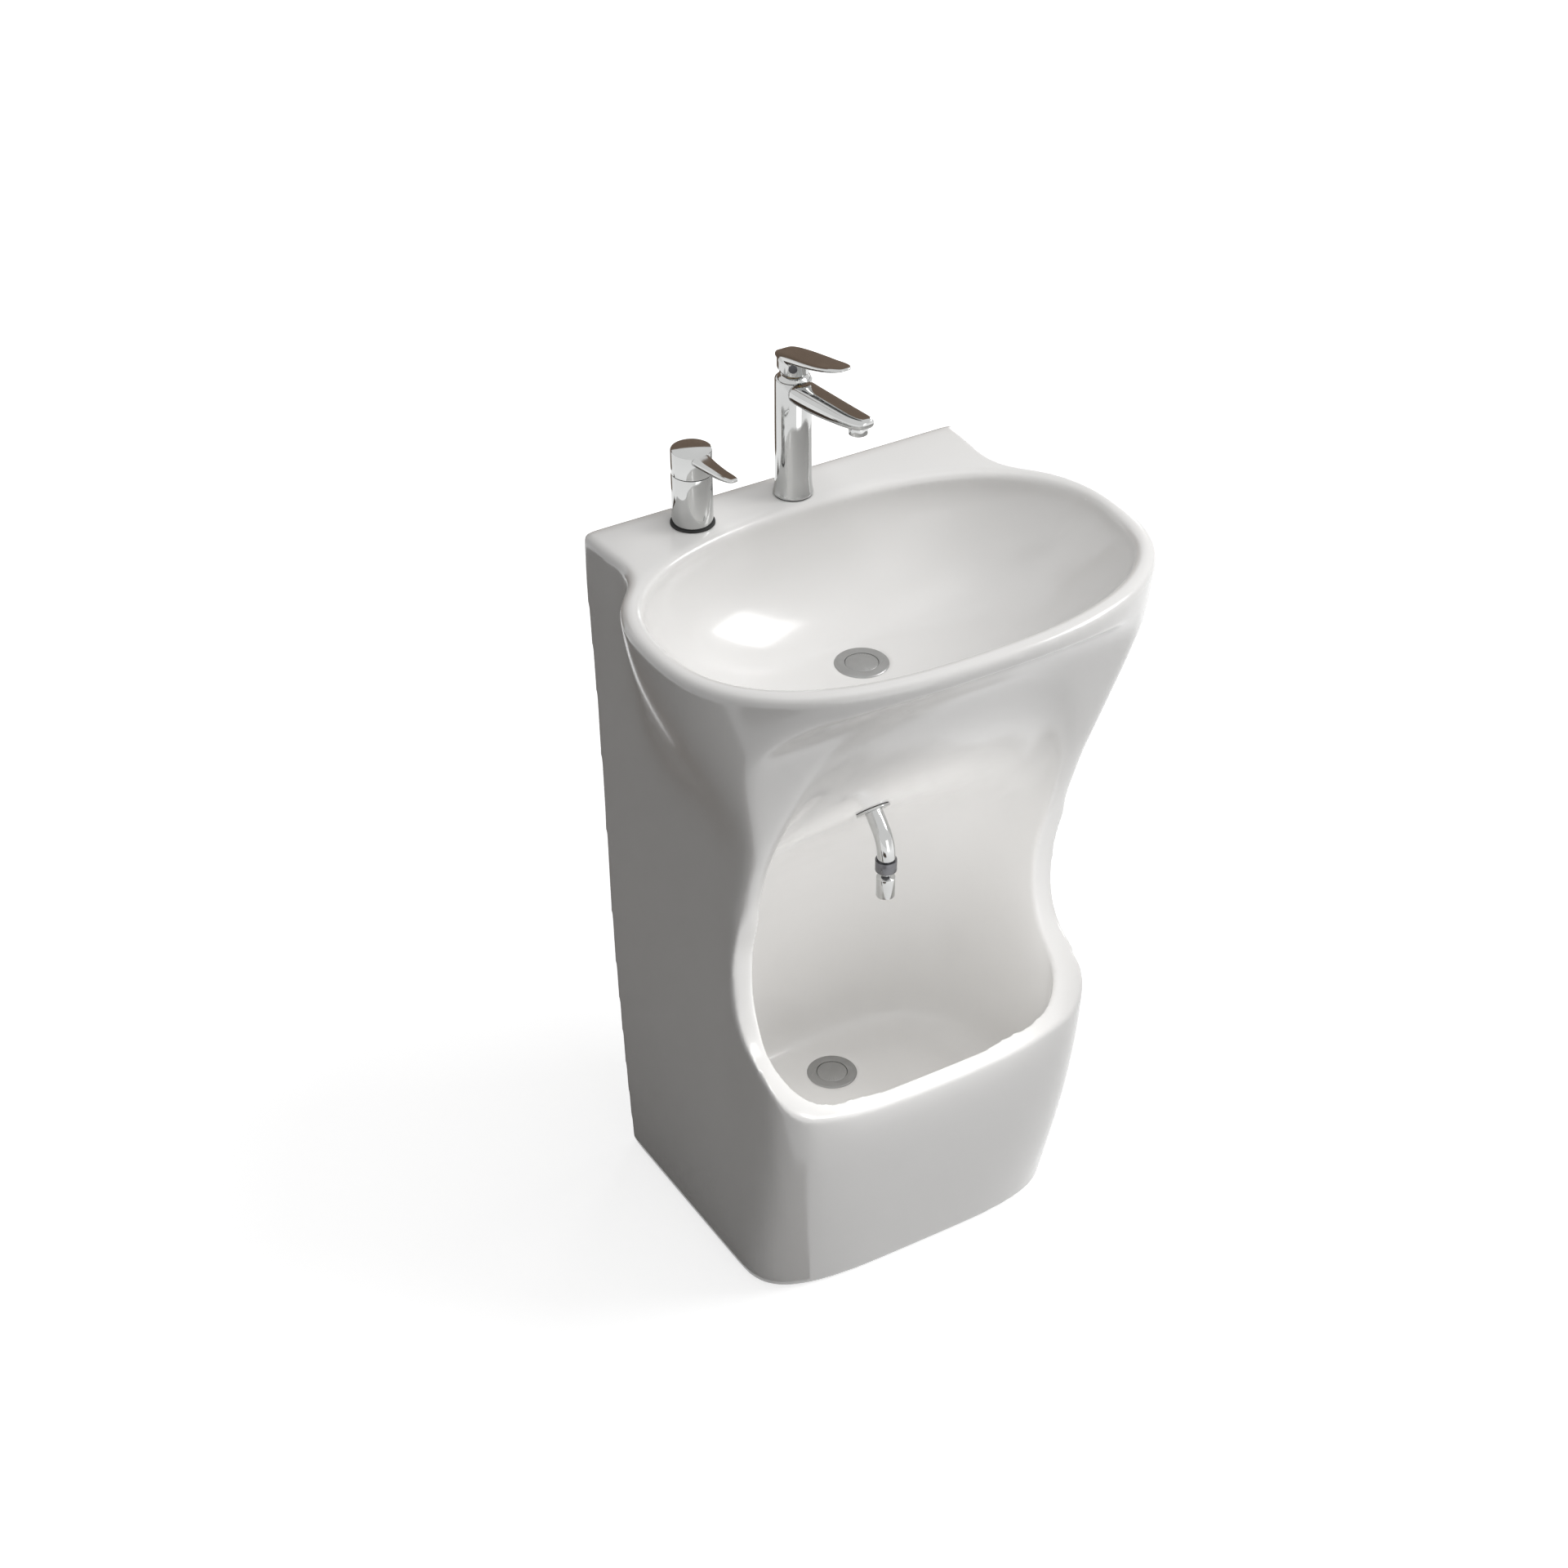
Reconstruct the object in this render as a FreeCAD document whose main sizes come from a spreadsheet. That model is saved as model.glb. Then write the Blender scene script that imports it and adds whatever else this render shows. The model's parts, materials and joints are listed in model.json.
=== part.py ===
import FreeCAD, Part
import math
import os
import re
import Sketcher

Vector = FreeCAD.Vector

# Driving sizes: lengths in millimetres, angles in degrees.
SIZES = {
    # overall ceramic body
    "body_width": 595.0,
    "body_depth": 440.0,
    "deck_height": 885.0,
    "deck_width": 480.0,
    "base_width": 410.0,
    "base_depth": 340.0,
    "side_narrowing": 10.0,
    "front_lean": 34.0,
    "wall": 13.0,
    "foot_round": 5.0,
    "lower_seam_height": 330.0,
    "upper_seam_height": 655.0,
    # oval basin at the top
    "oval_depth": 388.0,
    "rim_width": 24.0,
    "rim_round": 10.0,
    "notch_blend": 25.0,
    "bowl_depth": 142.5,
    "bowl_floor_radius": 38.0,
    "bowl_drain_setback": 189.5,
    # alcove for the feet
    "band_width": 23.0,
    "front_wall_height": 278.0,
    "front_wall_thickness": 21.0,
    "waist_inset": 168.0,
    "alcove_floor_height": 121.5,
    "alcove_back_setback": 72.0,
    "alcove_floor_round": 36.0,
    "brow_height": 795.0,
    "brow_inset": 77.0,
    "side_margin": 6.0,
    "side_fill": 12.0,
    "foot_drain_setback": 138.6,
    # clearances and overruns
    "fit_gap": 0.1,
    "running_gap": 0.35,
    "overrun": 20.0,
    # push-down wastes
    "waste_recess": 3.0,
    "waste_recess_gap": 0.8,
    "waste_seal_thickness": 1.0,
    "waste_flange_thickness": 2.3,
    "waste_flange_radius": 30.5,
    "waste_flange_bevel": 1.2,
    "waste_thread_radius": 20.9,
    "waste_bore_radius": 17.3,
    "waste_length": 50.0,
    "waste_hole_gap": 1.6,
    "plug_radius": 18.6,
    "plug_thickness": 2.6,
    "plug_crown": 0.7,
    "plug_stem_radius": 3.0,
    "plug_stem_length": 26.0,
    "plug_holder_radius": 6.5,
    "plug_holder_length": 22.0,
    "plug_holder_floor": 3.0,
    "plug_arm_width": 3.0,
    "plug_arm_height": 5.0,
    "waste_washer_radius": 29.0,
    "waste_washer_thickness": 4.0,
    "waste_locknut_flats": 50.0,
    "waste_locknut_thickness": 7.0,
    # waste pipes
    "waste_pipe_radius": 16.0,
    "waste_pipe_wall": 1.6,
    "waste_pipe_socket": 9.0,
    "slip_washer_thickness": 3.5,
    "slip_nut_wall": 4.0,
    "slip_nut_length": 16.0,
    "slip_nut_lip": 2.5,
    "riser_setback": 30.0,
    "bowl_pipe_drop": 38.0,
    "pipe_bend_radius": 50.0,
    "elbow_bend_radius": 28.0,
    "drain_line_height": 33.0,
    "tee_wall": 3.0,
    "tee_reach": 36.0,
    "tee_stop": 12.0,
    # parts shared by the two taps
    "tap_setback": 45.0,
    "tap_hole_radius": 14.5,
    "tap_shank_radius": 13.0,
    "tap_shank_bore": 10.2,
    "tap_shank_length": 52.0,
    "tap_shank_grip": 10.0,
    "cartridge_radius": 17.4,
    "cartridge_cup_radius": 12.2,
    "clamp_radius": 22.0,
    "clamp_front_reach": 16.0,
    "clamp_rubber_thickness": 3.0,
    "clamp_plate_thickness": 2.0,
    "clamp_nut_flats": 32.0,
    "clamp_nut_thickness": 7.0,
    "tail_radius": 4.0,
    "tail_grip_radius": 4.6,
    "tail_shoulder": 1.5,
    "tail_bore": 3.0,
    "tail_spread": 5.2,
    "tail_length": 145.0,
    "supply_tail_length": 75.0,
    "tail_grip": 6.0,
    # basin mixer
    "mixer_gasket_thickness": 0.8,
    "mixer_foot_radius": 22.3,
    "mixer_body_radius": 20.4,
    "mixer_flare_height": 24.0,
    "mixer_body_height": 141.0,
    "mixer_cartridge_height": 97.0,
    "mixer_partition": 11.0,
    "mixer_cartridge_length": 32.0,
    "mixer_cup_depth": 6.0,
    "mixer_nut_dome": 5.0,
    "mixer_nut_top_radius": 14.0,
    "mixer_rotor_radius": 11.8,
    "mixer_rotor_length": 14.0,
    "mixer_pivot_height": 139.0,
    "spindle_width": 8.0,
    "spindle_tail": 6.0,
    "spindle_length": 29.0,
    "trunnion_radius": 1.6,
    "spout_reach": 150.0,
    "spout_root_bottom": 117.0,
    "spout_root_half_width": 17.0,
    "spout_tip_rise": 16.0,
    "spout_root_depth": 24.0,
    "spout_channel_radius": 4.5,
    "aerator_reach": 130.0,
    "aerator_radius": 10.4,
    "aerator_length": 12.0,
    "aerator_bottom": 133.5,
    "aerator_wall": 1.4,
    "aerator_lip": 2.0,
    "lever_hub_radius": 18.0,
    "lever_hub_top": 168.0,
    "lever_front_gap": 2.2,
    "lever_back_gap": 10.0,
    "lever_reach": 106.0,
    "lever_overhang": 24.0,
    "lever_heel_height": 160.0,
    "lever_rise": 34.5,
    "lever_half_width": 16.5,
    "lever_thickness": 10.5,
    "index_radius": 4.8,
    "index_thickness": 2.4,
    "index_proud": 0.5,
    "index_height": 159.0,
    "grub_radius": 2.5,
    "grub_length": 7.0,
    # foot valve
    "valve_offset": 127.0,
    "valve_gasket_radius": 24.6,
    "valve_gasket_thickness": 1.8,
    "valve_radius": 22.7,
    "valve_body_height": 62.0,
    "valve_partition_bottom": 12.0,
    "valve_partition": 10.0,
    "valve_headwork_length": 26.0,
    "valve_nut_length": 8.0,
    "valve_handle_bottom": 62.5,
    "valve_handle_top": 90.5,
    "valve_handle_roof": 8.0,
    "valve_handle_wall": 3.4,
    "valve_spindle_radius": 5.0,
    "valve_spindle_length": 32.0,
    "valve_boss_radius": 9.0,
    "valve_lever_reach": 92.0,
    "valve_lever_root": 12.0,
    "valve_lever_rise": 13.0,
    "valve_lever_half_width": 8.0,
    "valve_lever_thickness": 11.0,
    # foot spout and its feed
    "spout_seat_height": 563.0,
    "arm_radius": 10.4,
    "arm_bore": 7.0,
    "arm_hole_gap": 1.2,
    "arm_straight": 2.4,
    "arm_forward": 30.0,
    "arm_shank_length": 34.0,
    "arm_bend_radius": 45.0,
    "arm_spigot_radius": 9.2,
    "arm_spigot_length": 6.0,
    "arm_mouth_radius": 7.9,
    "arm_mouth_depth": 5.5,
    "escutcheon_radius": 20.5,
    "escutcheon_thickness": 2.2,
    "spout_seal_thickness": 1.0,
    "spout_pad_radius": 22.5,
    "spout_washer_radius": 17.0,
    "spout_washer_thickness": 3.0,
    "spout_nut_flats": 30.0,
    "spout_nut_thickness": 6.0,
    "ball_radius": 8.3,
    "ball_drop": 9.6,
    "ball_bore": 3.4,
    "collar_radius": 12.4,
    "collar_lip": 2.0,
    "nozzle_neck_radius": 5.2,
    "nozzle_neck_length": 11.5,
    "nozzle_shoulder": 3.5,
    "nozzle_radius": 10.8,
    "nozzle_length": 29.0,
    "nozzle_wall": 1.8,
    "nozzle_insert_depth": 2.0,
    "nozzle_insert_length": 8.0,
    "nozzle_seal_thickness": 2.0,
    "feed_radius": 4.0,
    "feed_bore": 3.0,
    "feed_nut_flats": 14.0,
    "feed_nut_length": 14.0,
    "union_nut_flats": 25.0,
    "union_nut_grip": 6.0,
    "union_nut_floor": 5.0,
    "feed_run": 20.0,
    "feed_bend_radius": 15.0,
    "feed_rise": 40.0,
    "feed_fall": 55.0,
}

# Values worked out on the sheet from the driving sizes.
DERIVED = {
    "back_face": "body_depth / 2",
    "front_face": "-body_depth / 2",
    "oval_centre": "(oval_depth - body_depth) / 2",
    "bowl_drain_y": "back_face - bowl_drain_setback",
    "bowl_floor_height": "deck_height - bowl_depth",
    "bowl_seat": "bowl_floor_height - waste_recess",
    "foot_drain_y": "back_face - foot_drain_setback",
    "foot_seat": "alcove_floor_height - waste_recess",
    "alcove_back": "back_face - alcove_back_setback",
    "riser_y": "back_face - riser_setback",
    "tap_y": "back_face - tap_setback",
    "waste_flange_top": "waste_seal_thickness + waste_flange_thickness",
    "waste_underside": "-(wall - waste_recess)",
    "plug_underside": "waste_flange_top - plug_thickness",
    "plug_ledge": "plug_underside - running_gap",
    "plug_holder_top": "-plug_stem_length + plug_holder_length / 2",
    "plug_holder_bottom": "plug_holder_top - plug_holder_length",
    "slip_nut_bore": "waste_thread_radius + fit_gap",
    "slip_nut_radius": "slip_nut_bore + slip_nut_wall",
    "slip_nut_bottom": "-waste_length - slip_washer_thickness - slip_nut_lip",
    "tap_shank_bottom": "tap_shank_grip - tap_shank_length",
    "clamp_bottom": "-wall - clamp_rubber_thickness - clamp_plate_thickness",
    "mixer_partition_bottom": "mixer_cartridge_height - mixer_partition",
    "mixer_cartridge_top": "mixer_cartridge_height + mixer_cartridge_length",
    "mixer_rotor_top": "mixer_cartridge_top + mixer_rotor_length",
    "mixer_nut_bottom": "mixer_cartridge_top + mixer_cup_depth",
    "valve_x": "-valve_offset",
    "valve_cartridge_floor": "valve_partition_bottom + valve_partition",
    "valve_headwork_top": "valve_cartridge_floor + valve_headwork_length",
    "ball_centre": "-ball_drop",
}

doc = FreeCAD.newDocument("PedestalSink")
sheet = doc.addObject("Spreadsheet::Sheet", "Sizes")


def fill_sheet():
    row = 0
    for name, value in SIZES.items():
        row += 1
        sheet.set("A%d" % row, name)
        sheet.set("B%d" % row, str(value))
        sheet.setAlias("B%d" % row, name)
    for name, formula in DERIVED.items():
        row += 1
        sheet.set("A%d" % row, name)
        sheet.set("B%d" % row, "=" + formula)
        sheet.setAlias("B%d" % row, name)
    doc.recompute()


class Named:
    """The sheet's values, read by name."""

    def __getattr__(self, name):
        return float(sheet.get(name))


fill_sheet()
size = Named()
nodes = []


def bound(text):
    """An expression on the sheet, from one in plain size names."""
    return re.sub(r"\b(?!cos\b|sin\b|tan\b|deg\b)[a-z]\w+", lambda word: "Sizes." + word.group(), text)


def number(text):
    return float(sheet.evalExpression(bound(text)))


def bind(item, **properties):
    for name, text in properties.items():
        item.setExpression(name, bound(text))


def place(item, x="0", y="0", z="0", tilt=None):
    """Set an object's place, and its turn about the X axis, from the sheet."""
    for axis, text in (("x", x), ("y", y), ("z", z)):
        if text != "0":
            item.setExpression("Placement.Base." + axis, bound(text))
    if tilt:
        item.Placement.Rotation.Axis = Vector(1, 0, 0)
        item.setExpression("Placement.Rotation.Angle", bound(tilt))
    return item


def node(item, label):
    """Keep an object as a sub-part, under the name of its file."""
    item.Label = label
    nodes.append(item)
    return item


def origin_plane(body, role):
    for feature in body.Origin.OriginFeatures:
        if feature.Role == role:
            return feature
    raise ValueError("no plane " + role)


def draw_outline(sketch, outline):
    """A closed outline of straight lines, each corner held by two bound distances."""
    corners = []
    for across, up in outline:
        corners.append(Vector(number(across), number(up), 0))
    count = len(corners)
    for i in range(count):
        sketch.addGeometry(Part.LineSegment(corners[i], corners[(i + 1) % count]))
    for i in range(count):
        sketch.addConstraint(Sketcher.Constraint("Coincident", i, 2, (i + 1) % count, 1))
    for i, (across, up) in enumerate(outline):
        rows = (("DistanceX", across, corners[i].x, -2), ("DistanceY", up, corners[i].y, -1))
        for kind, text, value, axis in rows:
            if text == "0":
                sketch.addConstraint(Sketcher.Constraint("PointOnObject", i, 1, axis))
            else:
                index = sketch.addConstraint(Sketcher.Constraint(kind, -1, 1, i, 1, value))
                sketch.setExpression("Constraints[%d]" % index, bound(text))


def turned(label, outline):
    """A lathe-turned piece: its outline of (radius, height) corners spun about its own Z axis."""
    body = doc.addObject("PartDesign::Body", label)
    sketch = body.newObject("Sketcher::SketchObject", label + "_profile")
    sketch.AttachmentSupport = [(origin_plane(body, "XZ_Plane"), "")]
    sketch.MapMode = "FlatFace"
    draw_outline(sketch, outline)
    turn = body.newObject("PartDesign::Revolution", label + "_turn")
    turn.Profile = sketch
    turn.ReferenceAxis = (sketch, ["V_Axis"])
    turn.Angle = 360
    return body


def ring(label, outer, inner, bottom, top):
    return turned(label, [(inner, bottom), (outer, bottom), (outer, top), (inner, top)])


def cylinder(label, radius, bottom, length, x="0", y="0"):
    rod = doc.addObject("Part::Cylinder", label)
    bind(rod, Radius=radius, Height=length)
    return place(rod, x, y, bottom)


def block(label, width, depth, height, bottom, x="0", y="0"):
    """A box centred on x and y, standing on its bottom."""
    box = doc.addObject("Part::Box", label)
    bind(box, Length=width, Width=depth, Height=height)
    return place(box, "(%s) - (%s) / 2" % (x, width), "(%s) - (%s) / 2" % (y, depth), bottom)


def cut(label, base, tools):
    """One solid less others, one cut after another."""
    for i, tool in enumerate(tools):
        last = i == len(tools) - 1
        piece = doc.addObject("Part::Cut", label if last else "%s_cut_%d" % (label, i + 1))
        piece.Base = base
        piece.Tool = tool
        base = piece
    return base


def fuse(label, shapes):
    piece = doc.addObject("Part::MultiFuse", label)
    piece.Shapes = shapes
    return piece


def group(label, shapes):
    """Equal loose pieces that share one node."""
    piece = doc.addObject("Part::Compound", label)
    piece.Links = shapes
    return piece


def hex_nut(label, flats, bore, bottom, thickness):
    prism = doc.addObject("Part::Prism", label + "_hexagon")
    prism.Polygon = 6
    bind(prism, Circumradius="%s / (2 * cos(30))" % flats, Height=thickness)
    place(prism, z=bottom)
    hole = cylinder(label + "_bore", bore, "%s - overrun" % bottom, "%s + 2 * overrun" % thickness)
    return cut(label, prism, [hole])


def shaped(label, shape):
    """A free-form piece, set from a finished shape."""
    piece = doc.addObject("Part::Feature", label)
    piece.Shape = shape
    return piece


# Free-form helpers: smooth wires and lofts from named sizes


def curve(points):
    spline = Part.BSplineCurve()
    spline.interpolate(points)
    return spline


def closed_curve(points):
    spline = Part.BSplineCurve()
    spline.interpolate(points, True)
    return Part.Wire([spline.toShape()])


def superellipse(angle, across, along, power):
    """Distance from the centre to a superellipse, in one direction."""
    east = abs(math.cos(angle) / across) ** power
    north = abs(math.sin(angle) / along) ** power
    return (east + north) ** (-1 / power)


def soft_excess(value, blend):
    """What a value exceeds zero by, with a rounded start."""
    if value <= -blend:
        return 0.0
    if value >= blend:
        return value
    return (value + blend) ** 2 / (4 * blend)


def smooth_step(value):
    value = min(max(value, 0.0), 1.0)
    return value * value * (3 - 2 * value)


def interpolate(table, share):
    """A value between the rows of a table of (share, value)."""
    for (low, low_value), (high, high_value) in zip(table, table[1:]):
        if share <= high:
            return low_value + (high_value - low_value) * (share - low) / (high - low)
    return table[-1][1]


# Ceramic body: how its outline changes from the floor to the deck, as shares of its height

SECTION_SHARES = (0, 0.05, 0.13, 0.23, 0.33, 0.44, 0.55, 0.65, 0.72, 0.77, 0.82, 0.87, 0.92, 0.96, 1)
TAPER_SHARES = ((0, 0), (0.05, 0.09), (0.12, 0.2), (0.21, 0.32), (0.3, 0.44), (0.38, 0.53), (0.46, 0.58),
                (0.62, 0.66), (0.7, 0.73), (0.77, 0.78), (0.85, 0.87), (0.92, 0.96), (1, 1))
BULGE_START_SHARE = 0.69
BULGE_END_SHARE = 1.01
OVAL_POWER = 2.45
CORNER_SHARES = ((0, 3.6), (0.08, 4.6), (0.15, 6), (0.3, 9), (0.38, 9), (0.5, 6), (1, 6))
NARROWING_SHARES = ((0, 0), (0.15, 0.6), (0.3, 1), (1, 1))
HALF_OUTLINE_STEPS = 22


def side_half_width(height):
    share = height / size.deck_height
    taper = interpolate(TAPER_SHARES, share)
    return (size.base_width + (size.deck_width - size.base_width) * taper) / 2


def base_front(height):
    """Y of the front face, which leans forward up to the alcove's front wall."""
    share = min(height / size.front_wall_height, 1.0)
    return size.back_face - size.base_depth - size.front_lean * share * (2 - share) ** 0.5


def outline_points(height, inset):
    """Half of the outer outline at one height, from behind the back corner to the middle of the front."""
    share = height / size.deck_height
    half_width = side_half_width(height)
    narrow = half_width - size.side_narrowing * interpolate(NARROWING_SHARES, share)
    depth = size.oval_centre - base_front(height)
    bulge = smooth_step((share - BULGE_START_SHARE) / (BULGE_END_SHARE - BULGE_START_SHARE))
    start = math.atan2(size.back_face - size.oval_centre, half_width)
    points = []
    for i in range(HALF_OUTLINE_STEPS + 1):
        angle = start + (-math.pi / 2 - start) * i / HALF_OUTLINE_STEPS
        if angle > 0:
            spread = (half_width - narrow) / (size.back_face - size.oval_centre)
            radius = narrow / (math.cos(angle) - math.sin(angle) * spread)
        else:
            radius = superellipse(angle, narrow, depth, interpolate(CORNER_SHARES, share))
        oval = superellipse(angle, size.body_width / 2, size.oval_depth / 2, OVAL_POWER)
        radius += bulge * soft_excess(oval - radius, size.notch_blend)
        points.append(Vector(radius * math.cos(angle), size.oval_centre + radius * math.sin(angle), height))
    if inset:
        points = inset_points(points, inset)
    behind = (points[0] - points[1]) * (size.overrun / (points[0].y - points[1].y))
    points.insert(0, points[0] + behind)
    return points


def inset_points(points, inset):
    """The outline moved inwards, with its back end kept on the back face."""
    moved = []
    for i, point in enumerate(points):
        ahead = points[min(i + 1, len(points) - 1)]
        behind = points[max(i - 1, 0)]
        along = (ahead - behind).normalize()
        if i == 0:
            along = Vector(0, -1, 0)
        if i == len(points) - 1:
            along = Vector(-1, 0, 0)
        moved.append(point + Vector(along.y, -along.x, 0) * inset)
    return moved


def outline_wire(height, inset=0.0, section_height=None):
    points = outline_points(section_height if section_height is not None else height, inset)
    right = [Vector(p.x, p.y, height) for p in points]
    left = [Vector(-p.x, p.y, height) for p in reversed(right[:-1])]
    front = curve(right + left)
    rear = Part.LineSegment(left[-1], right[0])
    return Part.Wire([front.toShape(), rear.toShape()])


def rounded_end(level, inwards, radius):
    """A short loft that rounds the outline's edge between a level and the end beyond it."""
    wires = []
    steps = 4
    for i in range(steps + 1):
        angle = math.pi / 2 * i / steps
        height = level + inwards * radius * math.sin(angle)
        wires.append(outline_wire(height, radius * (1 - math.cos(angle)), level))
    return Part.makeLoft(wires, True)


def outer_solid():
    low = size.foot_round
    high = size.deck_height - size.rim_round
    wires = []
    for share in SECTION_SHARES:
        wires.append(outline_wire(low + (high - low) * share))
    trunk = Part.makeLoft(wires, True)
    return trunk.fuse([rounded_end(high, 1, size.rim_round), rounded_end(low, -1, size.foot_round)])


def inner_solid():
    """The outer solid less its wall, run out through the back and the bottom."""
    wires = []
    high = size.deck_height - size.wall
    for share in SECTION_SHARES:
        height = high * share
        wires.append(outline_wire(height, size.wall))
    hollow = Part.makeLoft(wires, True)
    return hollow


# Bowl: sections from the rim down to the drain

BOWL_SHARES = ((0.07, 1), (0.2, 0.965), (0.38, 0.89), (0.56, 0.79), (0.72, 0.66), (0.85, 0.5), (0.94, 0.32),
               (0.985, 0.15), (1, 0))
BOWL_NARROWING = 1.5
BOWL_SHIFTING = 0.6


def bowl_wire(height, across, along, centre):
    points = []
    steps = 24
    for i in range(steps):
        angle = 2 * math.pi * i / steps
        radius = superellipse(angle, across, along, OVAL_POWER)
        points.append(Vector(radius * math.cos(angle), centre + radius * math.sin(angle), height))
    return closed_curve(points)


def bowl_solid(grow):
    across = size.body_width / 2 - size.rim_width
    along = size.oval_depth / 2 - size.rim_width
    wires = []
    if grow:
        over = size.deck_height + size.overrun
        wires.append(bowl_wire(over, across + grow, along + grow, size.oval_centre))
    for depth_share, open_share in BOWL_SHARES:
        height = size.deck_height - size.bowl_depth * depth_share - grow * depth_share
        half = size.bowl_floor_radius + (across - size.bowl_floor_radius) * open_share + grow
        deep_share = open_share ** BOWL_NARROWING
        deep = size.bowl_floor_radius + (along - size.bowl_floor_radius) * deep_share + grow
        moved_share = (1 - open_share) ** BOWL_SHIFTING
        centre = size.oval_centre + (size.bowl_drain_y - size.oval_centre) * moved_share
        wires.append(bowl_wire(height, half, deep, centre))
    bowl = Part.makeLoft(wires, True)
    if grow:
        return bowl
    mouth = []
    steps = 4
    level = size.deck_height - size.bowl_depth * BOWL_SHARES[0][0]
    for i in range(steps + 1):
        angle = math.pi / 2 * i / steps
        spread = size.rim_round * (1 - math.cos(angle))
        height = level + (size.deck_height - level) * math.sin(angle)
        mouth.append(bowl_wire(height, across + spread, along + spread, size.oval_centre))
    over = size.deck_height + size.overrun
    top = bowl_wire(over, across + size.rim_round, along + size.rim_round, size.oval_centre)
    lid = Part.makeLoft([mouth[-1], top], True)
    return bowl.fuse([Part.makeLoft(mouth, True), lid])


# Front profile between the alcove's front wall and the rim: shares of the waist's inset and of the height

WAIST_SHARES = ((0.0, 0.035), (0.2, 0.037), (0.375, 0.044), (0.476, 0.071), (0.598, 0.1), (0.75, 0.124),
                (0.887, 0.155), (0.97, 0.198), (1, 0.255), (0.991, 0.316), (0.929, 0.387), (0.851, 0.461),
                (0.774, 0.533), (0.685, 0.605), (0.601, 0.695), (0.53, 0.778), (0.458, 0.843), (0.345, 0.896),
                (0.179, 0.94), (0.0, 0.966), (-0.25, 0.985))
CORNER_LIFT_SHARES = (0, 0, 0, 0, 0.1, 0.45, 0.8)
STATION_SHARES = (-1.1, -0.85, -0.7, -0.62, -0.54, -0.43, -0.28, 0, 0.28, 0.43, 0.54, 0.62, 0.7, 0.85, 1.1)
FULL_LIFT_SHARE = 0.7


def waist_points(x, shift):
    """The front profile at one station across the width."""
    lift = min(abs(x) / (size.body_width / 2 * FULL_LIFT_SHARE), 1.0) ** 3
    rise = size.deck_height - size.front_wall_height
    points = []
    for i, (inset_share, height_share) in enumerate(WAIST_SHARES):
        if i < len(CORNER_LIFT_SHARES):
            kept = CORNER_LIFT_SHARES[i]
            height_share *= kept + (1 - kept) * lift
        y = size.front_face + size.waist_inset * inset_share + shift
        points.append(Vector(x, y, size.front_wall_height + rise * height_share))
    return points


def waist_solid(shift):
    """All that lies in front of the profile, as far as past the rim."""
    wires = []
    far = size.front_face - size.body_depth
    for share in STATION_SHARES:
        x = size.body_width / 2 * share
        points = waist_points(x, shift)
        lower = Vector(x, far, points[0].z)
        upper = Vector(x, far, points[-1].z)
        edges = [curve(points).toShape()]
        edges.append(Part.LineSegment(points[-1], upper).toShape())
        edges.append(Part.LineSegment(upper, lower).toShape())
        edges.append(Part.LineSegment(lower, points[0]).toShape())
        wires.append(Part.Wire(edges))
    return Part.makeLoft(wires, True)


# Alcove: its ceiling and back wall as shares of the depth and height between floor and brow

CEILING_SHARES = ((-0.115, 1.045), (-0.055, 1.026), (0, 1), (0.107, 0.903), (0.216, 0.811), (0.354, 0.728),
                  (0.503, 0.655), (0.739, 0.55), (0.897, 0.428), (0.979, 0.302), (1, 0.198), (1, 0.071))
ALCOVE_LEVEL_SHARES = (0.06, 0.11, 0.19, 0.27, 0.35, 0.43, 0.51, 0.59, 0.655, 0.72, 0.78, 0.84, 0.89, 0.94,
                       0.975, 1, 1.02, 1.045)
ARCH_SHARES = ((0, 1), (0.84, 1), (0.9, 0.985), (0.94, 0.95), (0.975, 0.87), (1, 0.78), (1.02, 0.68),
               (1.045, 0.5))
ALCOVE_BACK_POWER = 3.0
ALCOVE_FRONT_POWER = 6.0


def ceiling_curve():
    """The alcove's ceiling and back wall in its middle plane, from just over the brow down."""
    brow = size.front_face + size.brow_inset
    rise = size.brow_height - size.alcove_floor_height
    points = []
    for depth_share, height_share in CEILING_SHARES:
        y = brow + (size.alcove_back - brow) * depth_share
        points.append(Vector(0, y, size.alcove_floor_height + rise * height_share))
    return curve(points)


def curve_at_height(line, height):
    """Where a curve that runs down crosses a height, by halving."""
    low = line.FirstParameter
    high = line.LastParameter
    for _ in range(50):
        middle = (low + high) / 2
        if line.value(middle).z > height:
            low = middle
        else:
            high = middle
    return line.value(middle), line.tangent(middle)[0]


def waist_at_height(height):
    """Y of the side edge of the opening at one height, or its innermost Y below the waist."""
    points = waist_points(size.body_width / 2, 0)
    deepest = max(points, key=lambda point: point.y)
    if height <= deepest.z:
        return deepest.y
    for low, high in zip(points, points[1:]):
        if low.z <= height <= high.z:
            return low.y + (high.y - low.y) * (height - low.z) / (high.z - low.z)
    return points[-1].y


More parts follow.
